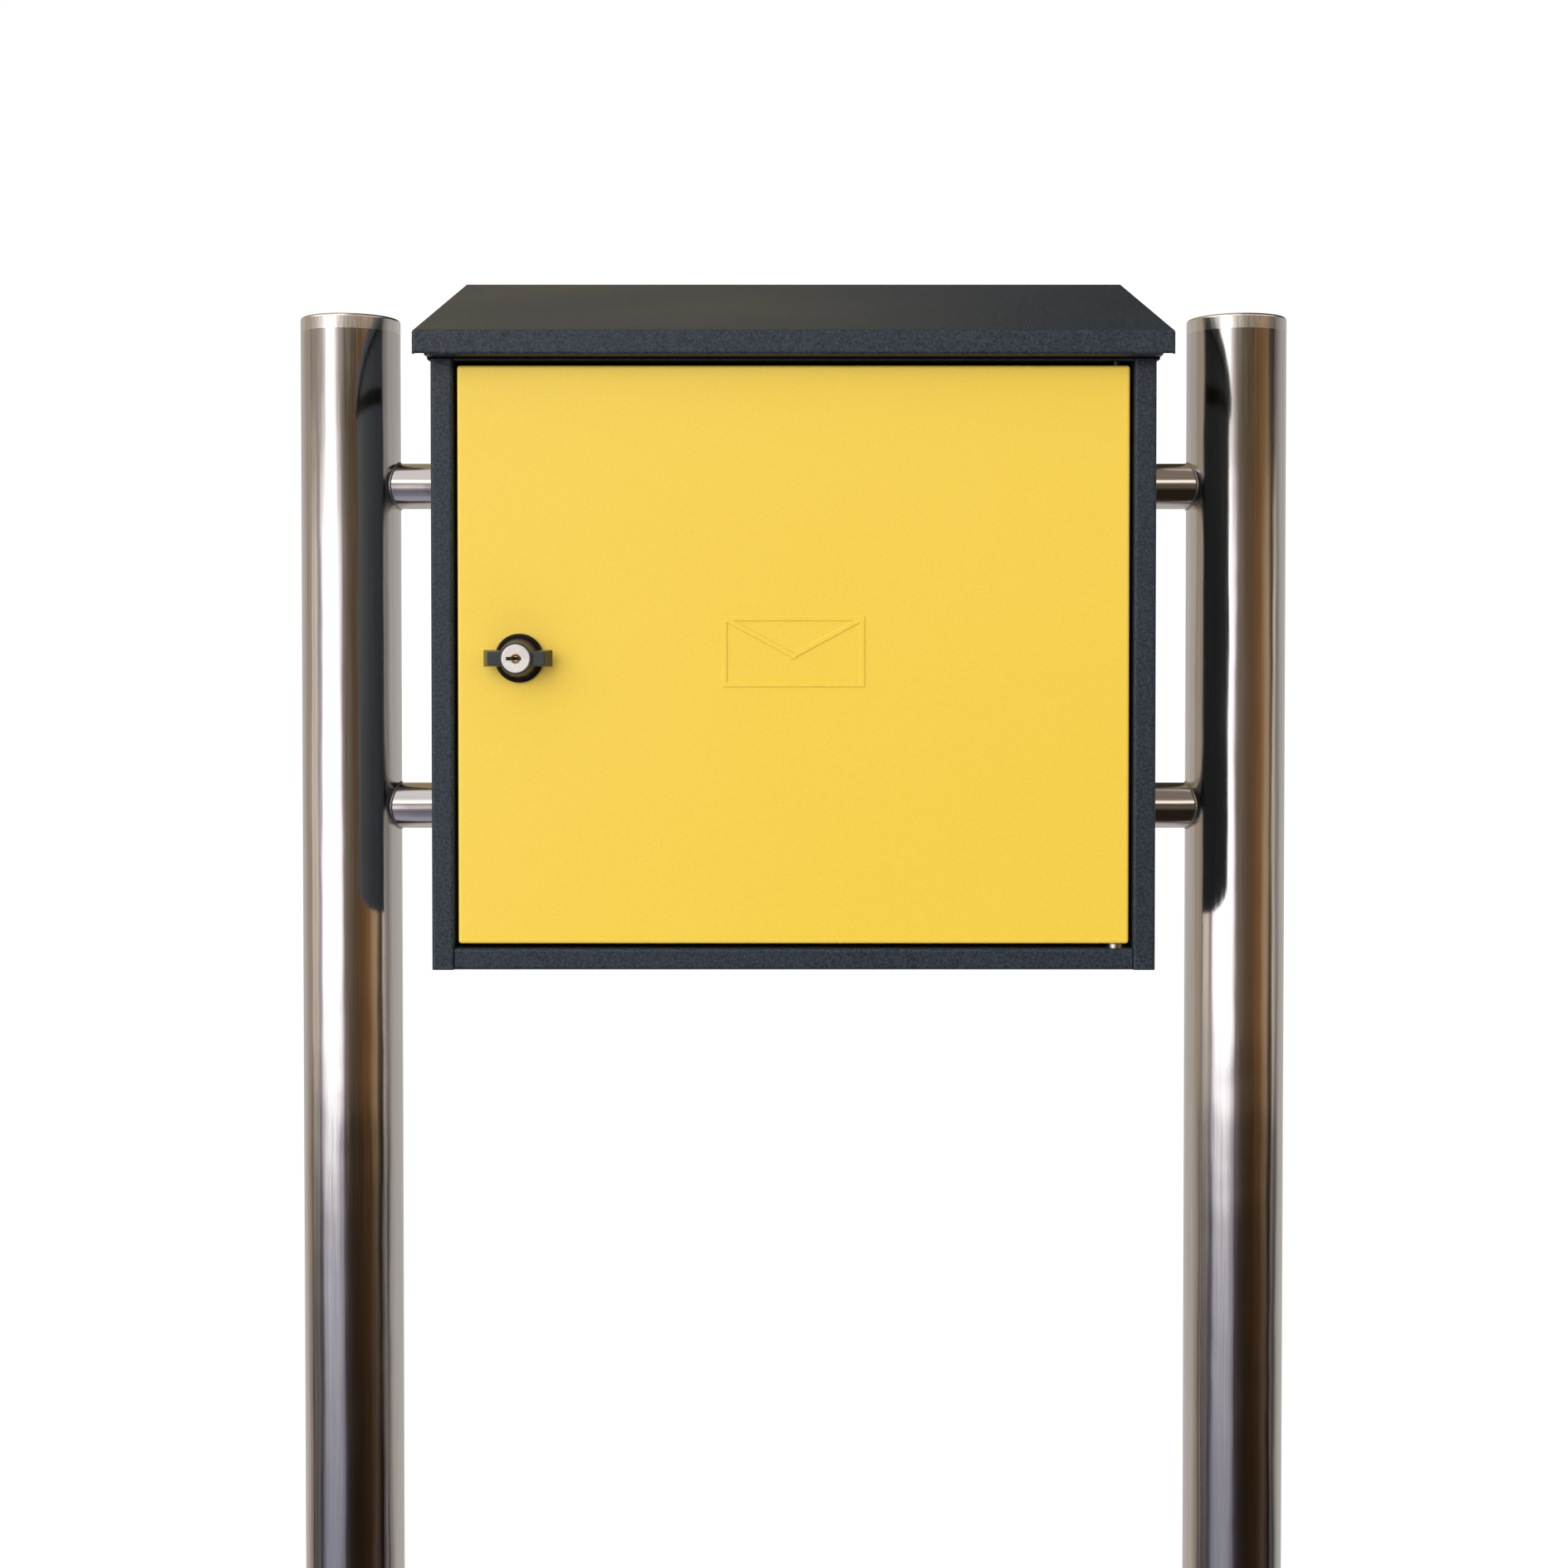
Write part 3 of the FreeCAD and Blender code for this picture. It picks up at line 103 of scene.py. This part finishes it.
# what the polished tubes see round them: (degrees from straight ahead, positive to the right), colour
SURROUND = [
    (-180, (0.58, 0.54, 0.51)), (-146, (0.60, 0.56, 0.53)), (-122, (0.56, 0.51, 0.46)),
    (-112, (0.40, 0.33, 0.27)), (-104, (0.52, 0.43, 0.33)), (-97, (0.36, 0.30, 0.25)),
    (-92, (1.05, 0.92, 0.74)), (-86, (0.60, 0.52, 0.44)), (-79, (0.95, 0.86, 0.76)),
    (-71, (0.34, 0.29, 0.30)), (-66, (0.50, 0.45, 0.46)), (-60, (1.75, 1.68, 1.80)),
    (-50, (2.2, 2.2, 2.25)), (-24, (2.2, 2.2, 2.25)), (-15, (1.5, 1.38, 1.5)),
    (-9, (0.36, 0.29, 0.27)), (0, (0.20, 0.155, 0.12)), (14, (0.125, 0.088, 0.055)),
    (30, (0.15, 0.083, 0.038)), (50, (0.25, 0.125, 0.052)), (60, (0.42, 0.27, 0.15)),
    (68, (0.52, 0.38, 0.24)), (74, (0.26, 0.17, 0.10)), (79, (0.05, 0.038, 0.032)),
    (84, (0.06, 0.05, 0.045)), (88, (0.95, 0.84, 0.62)), (93, (0.50, 0.45, 0.40)),
    (99, (0.26, 0.235, 0.225)), (116, (0.50, 0.47, 0.45)), (150, (0.58, 0.55, 0.52)),
    (180, (0.58, 0.54, 0.51)),
]

# the same above eye level, where the light strip is narrower
SURROUND_HIGH = [
    (-180, (0.56, 0.53, 0.50)), (-124, (0.52, 0.48, 0.44)), (-110, (0.40, 0.34, 0.28)),
    (-100, (0.50, 0.43, 0.34)), (-92, (0.30, 0.25, 0.21)), (-84, (0.44, 0.37, 0.32)),
    (-72, (0.38, 0.32, 0.28)), (-62, (0.52, 0.45, 0.40)), (-53, (0.75, 0.70, 0.68)),
    (-47, (2.1, 2.1, 2.15)), (-29, (2.2, 2.2, 2.25)), (-21, (0.85, 0.78, 0.74)),
    (-12, (0.34, 0.28, 0.24)), (0, (0.16, 0.125, 0.095)), (14, (0.11, 0.078, 0.05)),
    (30, (0.15, 0.085, 0.038)), (52, (0.24, 0.13, 0.05)), (66, (0.22, 0.14, 0.07)),
    (76, (0.06, 0.045, 0.035)), (84, (0.05, 0.04, 0.035)), (92, (0.28, 0.25, 0.24)),
    (116, (0.48, 0.45, 0.44)), (150, (0.54, 0.51, 0.50)), (180, (0.56, 0.53, 0.50)),
]

# how bright the surroundings are from straight down (0) to straight up (1)
LEVELS = [
    (0.0, (0.20, 0.20, 0.23)), (0.29, (0.15, 0.15, 0.18)), (0.345, (0.26, 0.25, 0.28)),
    (0.37, (0.34, 0.34, 0.37)), (0.385, (0.80, 0.78, 0.78)), (0.41, (1.0, 1.0, 1.0)),
    (0.54, (1.0, 1.0, 1.0)), (0.60, (0.84, 0.82, 0.80)), (1.0, (0.5, 0.5, 0.5)),
]

# overhead, from left to right: ahead of the object, in a band over the camera, and behind the object
OVER_AHEAD = [(0.0, (0.95, 0.92, 0.94)), (0.42, (0.90, 0.85, 0.86)), (0.62, (0.30, 0.235, 0.19)),
              (1.0, (0.24, 0.18, 0.14))]
OVER_CAMERA = [(0.0, (3.0, 3.0, 3.0)), (0.42, (2.6, 2.5, 2.4)), (0.62, (1.9, 1.75, 1.6)),
               (1.0, (1.6, 1.45, 1.3))]
OVER_BACK = [(0.0, (0.42, 0.33, 0.19)), (0.5, (0.34, 0.27, 0.16)), (0.66, (0.06, 0.048, 0.034)),
             (1.0, (0.02, 0.017, 0.014))]


# ------------------------------------------------------------------ node helpers
def new_material(name):
    m = bpy.data.materials.new(name)
    m.use_nodes = True
    nt = m.node_tree
    nt.nodes.clear()
    out = nt.nodes.new("ShaderNodeOutputMaterial")
    bsdf = nt.nodes.new("ShaderNodeBsdfPrincipled")
    nt.links.new(bsdf.outputs[0], out.inputs[0])
    return m, nt, bsdf


def coords(nt, scale=(1, 1, 1)):
    tc = nt.nodes.new("ShaderNodeTexCoord")
    mp = nt.nodes.new("ShaderNodeMapping")
    mp.inputs["Scale"].default_value = scale
    nt.links.new(tc.outputs["Object"], mp.inputs["Vector"])
    return mp.outputs["Vector"]


def noise(nt, vec, scale, detail, rough):
    n = nt.nodes.new("ShaderNodeTexNoise")
    n.inputs["Scale"].default_value = scale
    n.inputs["Detail"].default_value = detail
    n.inputs["Roughness"].default_value = rough
    nt.links.new(vec, n.inputs["Vector"])
    return n.outputs["Fac"]


def remap(nt, fac, low, high, to_low=0.0, to_high=1.0):
    n = nt.nodes.new("ShaderNodeMapRange")
    for socket, value in (("From Min", low), ("From Max", high), ("To Min", to_low), ("To Max", to_high)):
        n.inputs[socket].default_value = value
    nt.links.new(fac, n.inputs["Value"])
    return n.outputs["Result"]


def ramp(nt, fac, stops):
    n = nt.nodes.new("ShaderNodeValToRGB")
    r = n.color_ramp
    while len(r.elements) > 1:
        r.elements.remove(r.elements[-1])
    r.elements[0].position, r.elements[0].color = stops[0][0], (*stops[0][1], 1)
    for pos, col in stops[1:]:
        r.elements.new(pos).color = (*col, 1)
    nt.links.new(fac, n.inputs["Fac"])
    return n.outputs["Color"]


def math_node(nt, op, a, b=None):
    n = nt.nodes.new("ShaderNodeMath")
    n.operation = op
    for socket, v in zip(n.inputs, (a, b)):
        if isinstance(v, (int, float)):
            socket.default_value = v
        elif v is not None:
            nt.links.new(v, socket)
    return n.outputs[0]


def weighted(nt, a, share_a, b, share_b):
    """a and b summed, each times its share."""
    return math_node(nt, "ADD", math_node(nt, "MULTIPLY", a, share_a), math_node(nt, "MULTIPLY", b, share_b))


def mix_color(nt, fac, a, b, mode="MIX"):
    n = nt.nodes.new("ShaderNodeMix")
    n.data_type = "RGBA"
    n.blend_type = mode
    for socket, v in ((n.inputs["Factor"], fac), (n.inputs[6], a), (n.inputs[7], b)):
        if isinstance(v, (int, float)):
            socket.default_value = v
        elif isinstance(v, tuple):
            socket.default_value = (*v, 1)
        else:
            nt.links.new(v, socket)
    return n.outputs[2]


def bump_normal(nt, height, strength, distance, before=None):
    n = nt.nodes.new("ShaderNodeBump")
    n.inputs["Strength"].default_value = strength
    n.inputs["Distance"].default_value = distance
    nt.links.new(height, n.inputs["Height"])
    if before is not None:
        nt.links.new(before, n.inputs["Normal"])
    return n.outputs["Normal"]


def finish_surface(nt, bsdf, color, rough, normal):
    nt.links.new(color, bsdf.inputs["Base Color"])
    nt.links.new(rough, bsdf.inputs["Roughness"])
    nt.links.new(normal, bsdf.inputs["Normal"])


# ------------------------------------------------------------------ materials
def powder_coat(name, base, light, rough, grain, bump_size, spread, level):
    """Baked powder paint: fine orange-peel grain, slow tone drift, dust in patches."""
    m, nt, b = new_material(name)
    vec = coords(nt)
    fine = noise(nt, vec, grain, 3.0, 0.6)
    finer = noise(nt, vec, grain * 2.3, 2.0, 0.5)
    slow = noise(nt, vec, 7.0, 4.0, 0.5)
    speckle = weighted(nt, fine, 0.65, finer, 0.35)
    col = mix_color(nt, remap(nt, speckle, 0.5 - spread, 0.5 + spread), base, light)
    col = mix_color(nt, remap(nt, slow, 0.35, 0.7, 0.0, 0.16), col, light)
    dull = math_node(nt, "ADD", slow, math_node(nt, "MULTIPLY", fine, 0.5))
    finish_surface(nt, b, col, remap(nt, dull, 0.5, 1.0, rough - 0.05, rough + 0.08),
                   bump_normal(nt, speckle, 0.5, bump_size))
    b.inputs["Specular IOR Level"].default_value = level
    return m, b


def yellow_paint():
    m, b = powder_coat("yellow_powder_coat", (0.84, 0.595, 0.052), (0.875, 0.63, 0.068),
                       rough=0.36, grain=620.0, bump_size=0.00007, spread=0.15, level=0.5)
    b.inputs["Coat Weight"].default_value = 0.35
    b.inputs["Coat Roughness"].default_value = 0.30
    return m


def satin_steel(name, axis_scale, base=(0.56, 0.54, 0.515), light=(0.72, 0.705, 0.685), rough=0.085, aniso=0.3):
    """Polished tube: long fine scratches along one axis, faint smears, and a slightly wavy wall."""
    m, nt, b = new_material(name)
    grain_vec = coords(nt, axis_scale)
    scratches = noise(nt, grain_vec, 900.0, 5.0, 0.7)
    wide = noise(nt, grain_vec, 160.0, 3.0, 0.5)
    smear = noise(nt, coords(nt), 9.0, 4.0, 0.6)
    tone = weighted(nt, scratches, 0.6, wide, 0.4)
    dull = math_node(nt, "ADD", remap(nt, scratches, 0.3, 0.7, rough - 0.03, rough + 0.05),
                     remap(nt, smear, 0.35, 0.7, 0.0, 0.05))
    wavy = bump_normal(nt, noise(nt, coords(nt, (1.0, 1.0, 0.5)), 22.0, 2.0, 0.45), 1.0, 0.0009)
    finish_surface(nt, b, mix_color(nt, remap(nt, tone, 0.35, 0.65), base, light), dull,
                   bump_normal(nt, tone, 0.25, 0.00004, wavy))
    b.inputs["Metallic"].default_value = 1.0
    b.inputs["Anisotropic"].default_value = aniso
    tan = nt.nodes.new("ShaderNodeTangent")
    tan.direction_type = "RADIAL"
    tan.axis = "Z"
    nt.links.new(tan.outputs[0], b.inputs["Tangent"])
    return m


def plain_steel(name, base, light, rough, scale=420.0, metal=1.0):
    """Small turned, stamped or plated steel parts: mottled tone and fine tool marks."""
    m, nt, b = new_material(name)
    vec = coords(nt)
    fine = noise(nt, vec, scale, 4.0, 0.65)
    blotch = noise(nt, vec, 70.0, 4.0, 0.6)
    tone = remap(nt, weighted(nt, fine, 0.4, blotch, 0.6), 0.35, 0.68)
    finish_surface(nt, b, mix_color(nt, tone, base, light), remap(nt, blotch, 0.3, 0.7, rough - 0.06, rough + 0.1),
                   bump_normal(nt, fine, 0.35, 0.00008))
    b.inputs["Metallic"].default_value = metal
    return m


def plastic(name, base, light, rough, bump_size, grain=1500.0, level=0.5):
    """Moulded plastic or rubber: fine grain over a slow change of tone."""
    m, nt, b = new_material(name)
    vec = coords(nt)
    fine = noise(nt, vec, grain, 3.0, 0.6)
    slow = noise(nt, vec, 60.0, 3.0, 0.5)
    tone = remap(nt, weighted(nt, fine, 0.5, slow, 0.5), 0.38, 0.64)
    finish_surface(nt, b, mix_color(nt, tone, base, light), remap(nt, slow, 0.3, 0.7, rough - 0.04, rough + 0.08),
                   bump_normal(nt, fine, 0.4, bump_size))
    b.inputs["Specular IOR Level"].default_value = level
    return m


def weld_metal():
    """Brushed weld bead with a faint straw and blue heat tint."""
    m, nt, b = new_material("weld_steel")
    vec = coords(nt)
    tint = noise(nt, vec, 120.0, 3.0, 0.6)
    fine = noise(nt, vec, 900.0, 3.0, 0.6)
    col = ramp(nt, tint, [(0.3, (0.34, 0.30, 0.25)), (0.5, (0.52, 0.49, 0.45)), (0.68, (0.38, 0.39, 0.43))])
    finish_surface(nt, b, col, remap(nt, fine, 0.3, 0.7, 0.28, 0.5), bump_normal(nt, fine, 0.5, 0.0001))
    b.inputs["Metallic"].default_value = 1.0
    return m


MAT = {
    "stainless_tube": satin_steel("satin_steel_upright", (1.0, 1.0, 0.012)),
    "stainless_bar": satin_steel("satin_steel_level", (0.012, 1.0, 1.0), rough=0.10, aniso=0.0),
    "stainless_cap": satin_steel("polished_cap", (1.0, 1.0, 0.1), (0.68, 0.66, 0.61), (0.84, 0.82, 0.77),
                                 rough=0.17, aniso=0.0),
    "stainless_plate": plain_steel("satin_steel_plate", (0.42, 0.41, 0.39), (0.58, 0.57, 0.55), 0.3),
    "stainless_fixing": plain_steel("bright_steel", (0.5, 0.49, 0.47), (0.66, 0.65, 0.63), 0.2),
    "saddle_plastic": plastic("saddle_plastic", (0.012, 0.012, 0.013), (0.03, 0.03, 0.032), 0.55, 0.0002),
    "dark_powder_coat": powder_coat("dark_powder_coat", (0.0050, 0.0090, 0.0132), (0.032, 0.047, 0.064),
                                    rough=0.42, grain=820.0, bump_size=0.00030, spread=0.11, level=0.36)[0],
    "yellow_powder_coat": yellow_paint(),
    "rubber": plastic("bumper_rubber", (0.0025, 0.0025, 0.0025), (0.006, 0.006, 0.006), 0.8, 0.0002,
                      grain=900.0, level=0.12),
    "steel_pin": plain_steel("turned_steel", (0.45, 0.45, 0.44), (0.62, 0.62, 0.61), 0.25, scale=700.0),
    "blackened_steel": plain_steel("blackened_steel", (0.03, 0.03, 0.032), (0.06, 0.06, 0.062), 0.42, scale=700.0),
    "zinc_plate": plain_steel("zinc_plate", (0.38, 0.40, 0.43), (0.56, 0.58, 0.60), 0.36, scale=300.0),
    "black_gloss": plastic("gloss_black", (0.003, 0.003, 0.0035), (0.006, 0.006, 0.0065), 0.15, 0.00002,
                           grain=700.0, level=0.2),
    "knob_plastic": plastic("knob_plastic", (0.020, 0.026, 0.030), (0.036, 0.043, 0.050), 0.34, 0.00005,
                            grain=1400.0),
    "nickel_plate": plain_steel("nickel_plate", (0.66, 0.64, 0.61), (0.84, 0.82, 0.79), 0.30, scale=800.0,
                                metal=0.45),
    "brass": plain_steel("stamped_brass", (0.44, 0.30, 0.10), (0.62, 0.46, 0.18), 0.3, scale=500.0),
}
WELD = weld_metal()
OWN_MATERIAL = {"crossbar_upper": "stainless_bar", "crossbar_lower": "stainless_bar",
                "post_cap_left": "stainless_cap", "post_cap_right": "stainless_cap"}


def give(obj, mat):
    obj.data.materials.clear()
    obj.data.materials.append(mat)


for part in frame["record"]["subparts"]:
    give(NODES[part["node"]], MAT[OWN_MATERIAL.get(part["node"], part["material_slot"])])


# ------------------------------------------------------------------ added detail
def break_edges(obj):
    """Takes the sharpness off a turned or sawn part's corners."""
    m = obj.modifiers.new("broken_edges", "BEVEL")
    m.width = BROKEN_EDGE
    m.segments = 2
    m.limit_method = "ANGLE"
    m.angle_limit = SHARP_ANGLE
    m.harden_normals = True


for name in ("post_cap_left", "post_cap_right", "post_left", "post_right"):
    break_edges(NODES[name])


def mesh_object(name, bm, mat, smooth):
    bmesh.ops.recalc_face_normals(bm, faces=bm.faces)
    me = bpy.data.meshes.new(name)
    bm.to_mesh(me)
    bm.free()
    if smooth:
        me.polygons.foreach_set("use_smooth", [True] * len(me.polygons))
    o = bpy.data.objects.new(name, me)
    bpy.context.collection.objects.link(o)
    give(o, mat)
    return o


def weld_bead(name, points, radius, sides, ripple, pitch):
    """A closed bead through the points, thicker and thinner along its length as a weld is."""
    bm = bmesh.new()
    aside = Vector((0.13, 0.21, 0.97))      # lies along no part of any bead
    n = len(points)
    length = 0.0
    rings = []
    for k, p in enumerate(points):
        before, after = points[k - 1], points[(k + 1) % n]
        along = (after - before).normalized()
        side = along.cross(aside).normalized()
        up = side.cross(along).normalized()
        length += (p - before).length if k else 0.0
        r = radius * (1 - ripple + ripple * abs(math.sin(math.pi * length / pitch)))
        rings.append([bm.verts.new(p + (side * math.cos(a) + up * math.sin(a)) * r)
                      for a in (2 * math.pi * j / sides for j in range(sides))])
    for k in range(n):
        a, b = rings[k], rings[(k + 1) % n]
        for j in range(sides):
            bm.faces.new((a[j], a[(j + 1) % sides], b[(j + 1) % sides], b[j]))
    return mesh_object(name, bm, WELD, smooth=True)


def crossbar_bead_points(bar, post):
    """The line where a crossbar's surface meets a post's, on the side towards the box."""
    (bar_lo, bar_hi), (post_lo, post_hi) = bar, post
    r_bar, r_post = (bar_hi.z - bar_lo.z) / 2, (post_hi.x - post_lo.x) / 2
    y_mid, z_mid = (bar_hi.y + bar_lo.y) / 2, (bar_hi.z + bar_lo.z) / 2
    x_mid = (post_hi.x + post_lo.x) / 2
    inward = -1 if x_mid > 0 else 1
    points = []
    for k in range(BAR_BEAD_STEPS):
        a = 2 * math.pi * k / BAR_BEAD_STEPS
        y, z = y_mid + r_bar * math.cos(a), z_mid + r_bar * math.sin(a)
        points.append(Vector((x_mid + inward * math.sqrt(r_post ** 2 - y ** 2), y, z)))
    return points


def base_bead_points(post):
    lo, hi = post
    r, x_mid, y_mid = (hi.x - lo.x) / 2, (hi.x + lo.x) / 2, (hi.y + lo.y) / 2
    turns = (2 * math.pi * k / BASE_BEAD_STEPS for k in range(BASE_BEAD_STEPS))
    return [Vector((x_mid + r * math.cos(a), y_mid + r * math.sin(a), FLANGE_TOP + BASE_BEAD_LIFT)) for a in turns]


def weld_pieces():
    beads = []
    for which, bar in BARS.items():
        for side, post in POSTS.items():
            beads.append(weld_bead("weld_%s_%s" % (which, side), crossbar_bead_points(bar, post), **BAR_BEAD))
    for side, post in POSTS.items():
        beads.append(weld_bead("weld_base_" + side, base_bead_points(post), **BASE_BEAD))
    for o in beads:
        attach(o, "stand")


def keyway_bush():
    """Two dished brass crescents above and below the keyway, in the recess of the key plug."""
    bm = bmesh.new()
    for side in (1, -1):
        loops = []
        for radius, depth in BUSH_SECTION:
            start = math.asin(BUSH_SLIT / radius)
            loops.append([bm.verts.new((LOCK.x + radius * math.cos(a), PLUG_FACE + depth,
                                        LOCK.z + side * radius * math.sin(a)))
                          for a in (start + (math.pi - 2 * start) * k / BUSH_STEPS for k in range(BUSH_STEPS + 1))])
        for a, b in zip(loops, loops[1:] + loops[:1]):
            for k in range(BUSH_STEPS):
                bm.faces.new((a[k], a[k + 1], b[k + 1], b[k]))
        bm.faces.new([loop[0] for loop in loops])
        bm.faces.new([loop[-1] for loop in loops])
    o = mesh_object("keyway_bush", bm, MAT["brass"], smooth=False)
    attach(o, "plug")


weld_pieces()
keyway_bush()


# ------------------------------------------------------------------ floor, light, camera
def blend_shaders(nt, fac, a, b, out):
    mix = nt.nodes.new("ShaderNodeMixShader")
    for socket, source in zip(mix.inputs, (fac, a, b)):
        nt.links.new(source, socket)
    nt.links.new(mix.outputs[0], out.inputs[0])


def floor():
    bpy.ops.mesh.primitive_circle_add(vertices=128, radius=FLOOR_RADIUS, fill_type="NGON", location=(0, 0, 0))
    f = bpy.context.object
    f.name = "floor"
    m, nt, b = new_material("pale_floor")
    n = noise(nt, coords(nt), 3.0, 5.0, 0.5)
    nt.links.new(mix_color(nt, n, (0.88, 0.88, 0.88), (0.92, 0.92, 0.92)), b.inputs["Base Color"])
    nt.links.new(remap(nt, n, 0.3, 0.7, 0.7, 0.85), b.inputs["Roughness"])
    b.inputs["Specular IOR Level"].default_value = 0.2
    b.inputs["Emission Color"].default_value = (1, 1, 1, 1)
    b.inputs["Emission Strength"].default_value = FLOOR_GLOW
    length = nt.nodes.new("ShaderNodeVectorMath")
    length.operation = "LENGTH"
    nt.links.new(coords(nt), length.inputs[0])
    clear = nt.nodes.new("ShaderNodeBsdfTransparent")
    out = next(x for x in nt.nodes if x.bl_idname == "ShaderNodeOutputMaterial")
    blend_shaders(nt, remap(nt, length.outputs["Value"], *FLOOR_FADE), b.outputs[0], clear.outputs[0], out)
    give(f, m)
    f.visible_glossy = False


def surround_colour(nt):
    """The colour of the surroundings in each direction."""
    tc = nt.nodes.new("ShaderNodeTexCoord")
    direction = tc.outputs["Generated"]
    sep = nt.nodes.new("ShaderNodeSeparateXYZ")
    nt.links.new(direction, sep.inputs[0])
    x, y, z = sep.outputs["X"], sep.outputs["Y"], sep.outputs["Z"]
    sway = remap(nt, noise(nt, direction, 7.0, 3.0, 0.5), 0.3, 0.7, -0.07, 0.07)
    ragged = remap(nt, noise(nt, direction, 26.0, 4.0, 0.6), 0.3, 0.7, -0.05, 0.05)
    azimuth = math_node(nt, "ADD", math_node(nt, "ARCTAN2", x, math_node(nt, "MULTIPLY", y, -1.0)), sway)
    turn = remap(nt, azimuth, -math.pi, math.pi)
    bands, high = (ramp(nt, turn, [((a + 180) / 360, c) for a, c in table]) for table in (SURROUND, SURROUND_HIGH))
    bands = mix_color(nt, remap(nt, z, 0.03, 0.11), bands, high)
    # the light view ends at a ragged edge below eye level, but behind the object it goes all the way down
    height = ramp(nt, remap(nt, math_node(nt, "ADD", z, ragged), -1.0, 1.0), LEVELS)
    behind = remap(nt, math_node(nt, "ABSOLUTE", azimuth), math.radians(98), math.radians(112))
    height = mix_color(nt, behind, height, (1.0, 1.0, 1.0))
    side = mix_color(nt, 1.0, bands, height, "MULTIPLY")
    # above: light at the front left and in a band over the camera, dim and warm elsewhere
    across = remap(nt, x, -0.35, 0.35)
    ahead, glow, back = (ramp(nt, across, table) for table in (OVER_AHEAD, OVER_CAMERA, OVER_BACK))
    ahead = mix_color(nt, remap(nt, z, 0.38, 0.52), glow, ahead)
    over = mix_color(nt, remap(nt, y, -0.15, 0.15), ahead, back)
    return mix_color(nt, remap(nt, z, 0.18, 0.32), side, over)


def world():
    """Banded surroundings for light and reflections, and a plain white ground behind the object."""
    w = bpy.data.worlds.new("studio")
    bpy.context.scene.world = w
    w.use_nodes = True
    nt = w.node_tree
    nt.nodes.clear()
    out = nt.nodes.new("ShaderNodeOutputWorld")
    bg = nt.nodes.new("ShaderNodeBackground")
    nt.links.new(surround_colour(nt), bg.inputs["Color"])
    white = nt.nodes.new("ShaderNodeBackground")
    white.inputs["Color"].default_value = (1, 1, 1, 1)
    white.inputs["Strength"].default_value = BACKDROP
    lp = nt.nodes.new("ShaderNodeLightPath")
    blend_shaders(nt, lp.outputs["Is Camera Ray"], bg.outputs[0], white.outputs[0], out)


def softbox(name, place, aim, size, power, color):
    d = bpy.data.lights.new(name, "AREA")
    d.shape = "RECTANGLE"
    d.size, d.size_y = size
    d.energy = power
    d.color = color
    o = bpy.data.objects.new(name, d)
    bpy.context.collection.objects.link(o)
    o.location = place
    o.rotation_euler = (Vector(aim) - Vector(place)).to_track_quat("-Z", "Y").to_euler()
    o.visible_glossy = False
    o.visible_camera = False


def camera():
    d = bpy.data.cameras.new("camera")
    d.sensor_width = SENSOR_MM
    d.lens = LENS_MM
    d.shift_x, d.shift_y = SHIFT
    d.clip_end = 100.0
    o = bpy.data.objects.new("camera", d)
    bpy.context.collection.objects.link(o)
    o.location = (0.0, FRONT - CAMERA_DISTANCE, CAMERA_HEIGHT)
    o.rotation_euler = (CAMERA_TILT, 0.0, 0.0)
    bpy.context.scene.camera = o


floor()
world()
for box in SOFTBOXES:
    softbox(*box)
bpy.context.scene.view_settings.view_transform = "Standard"
camera()
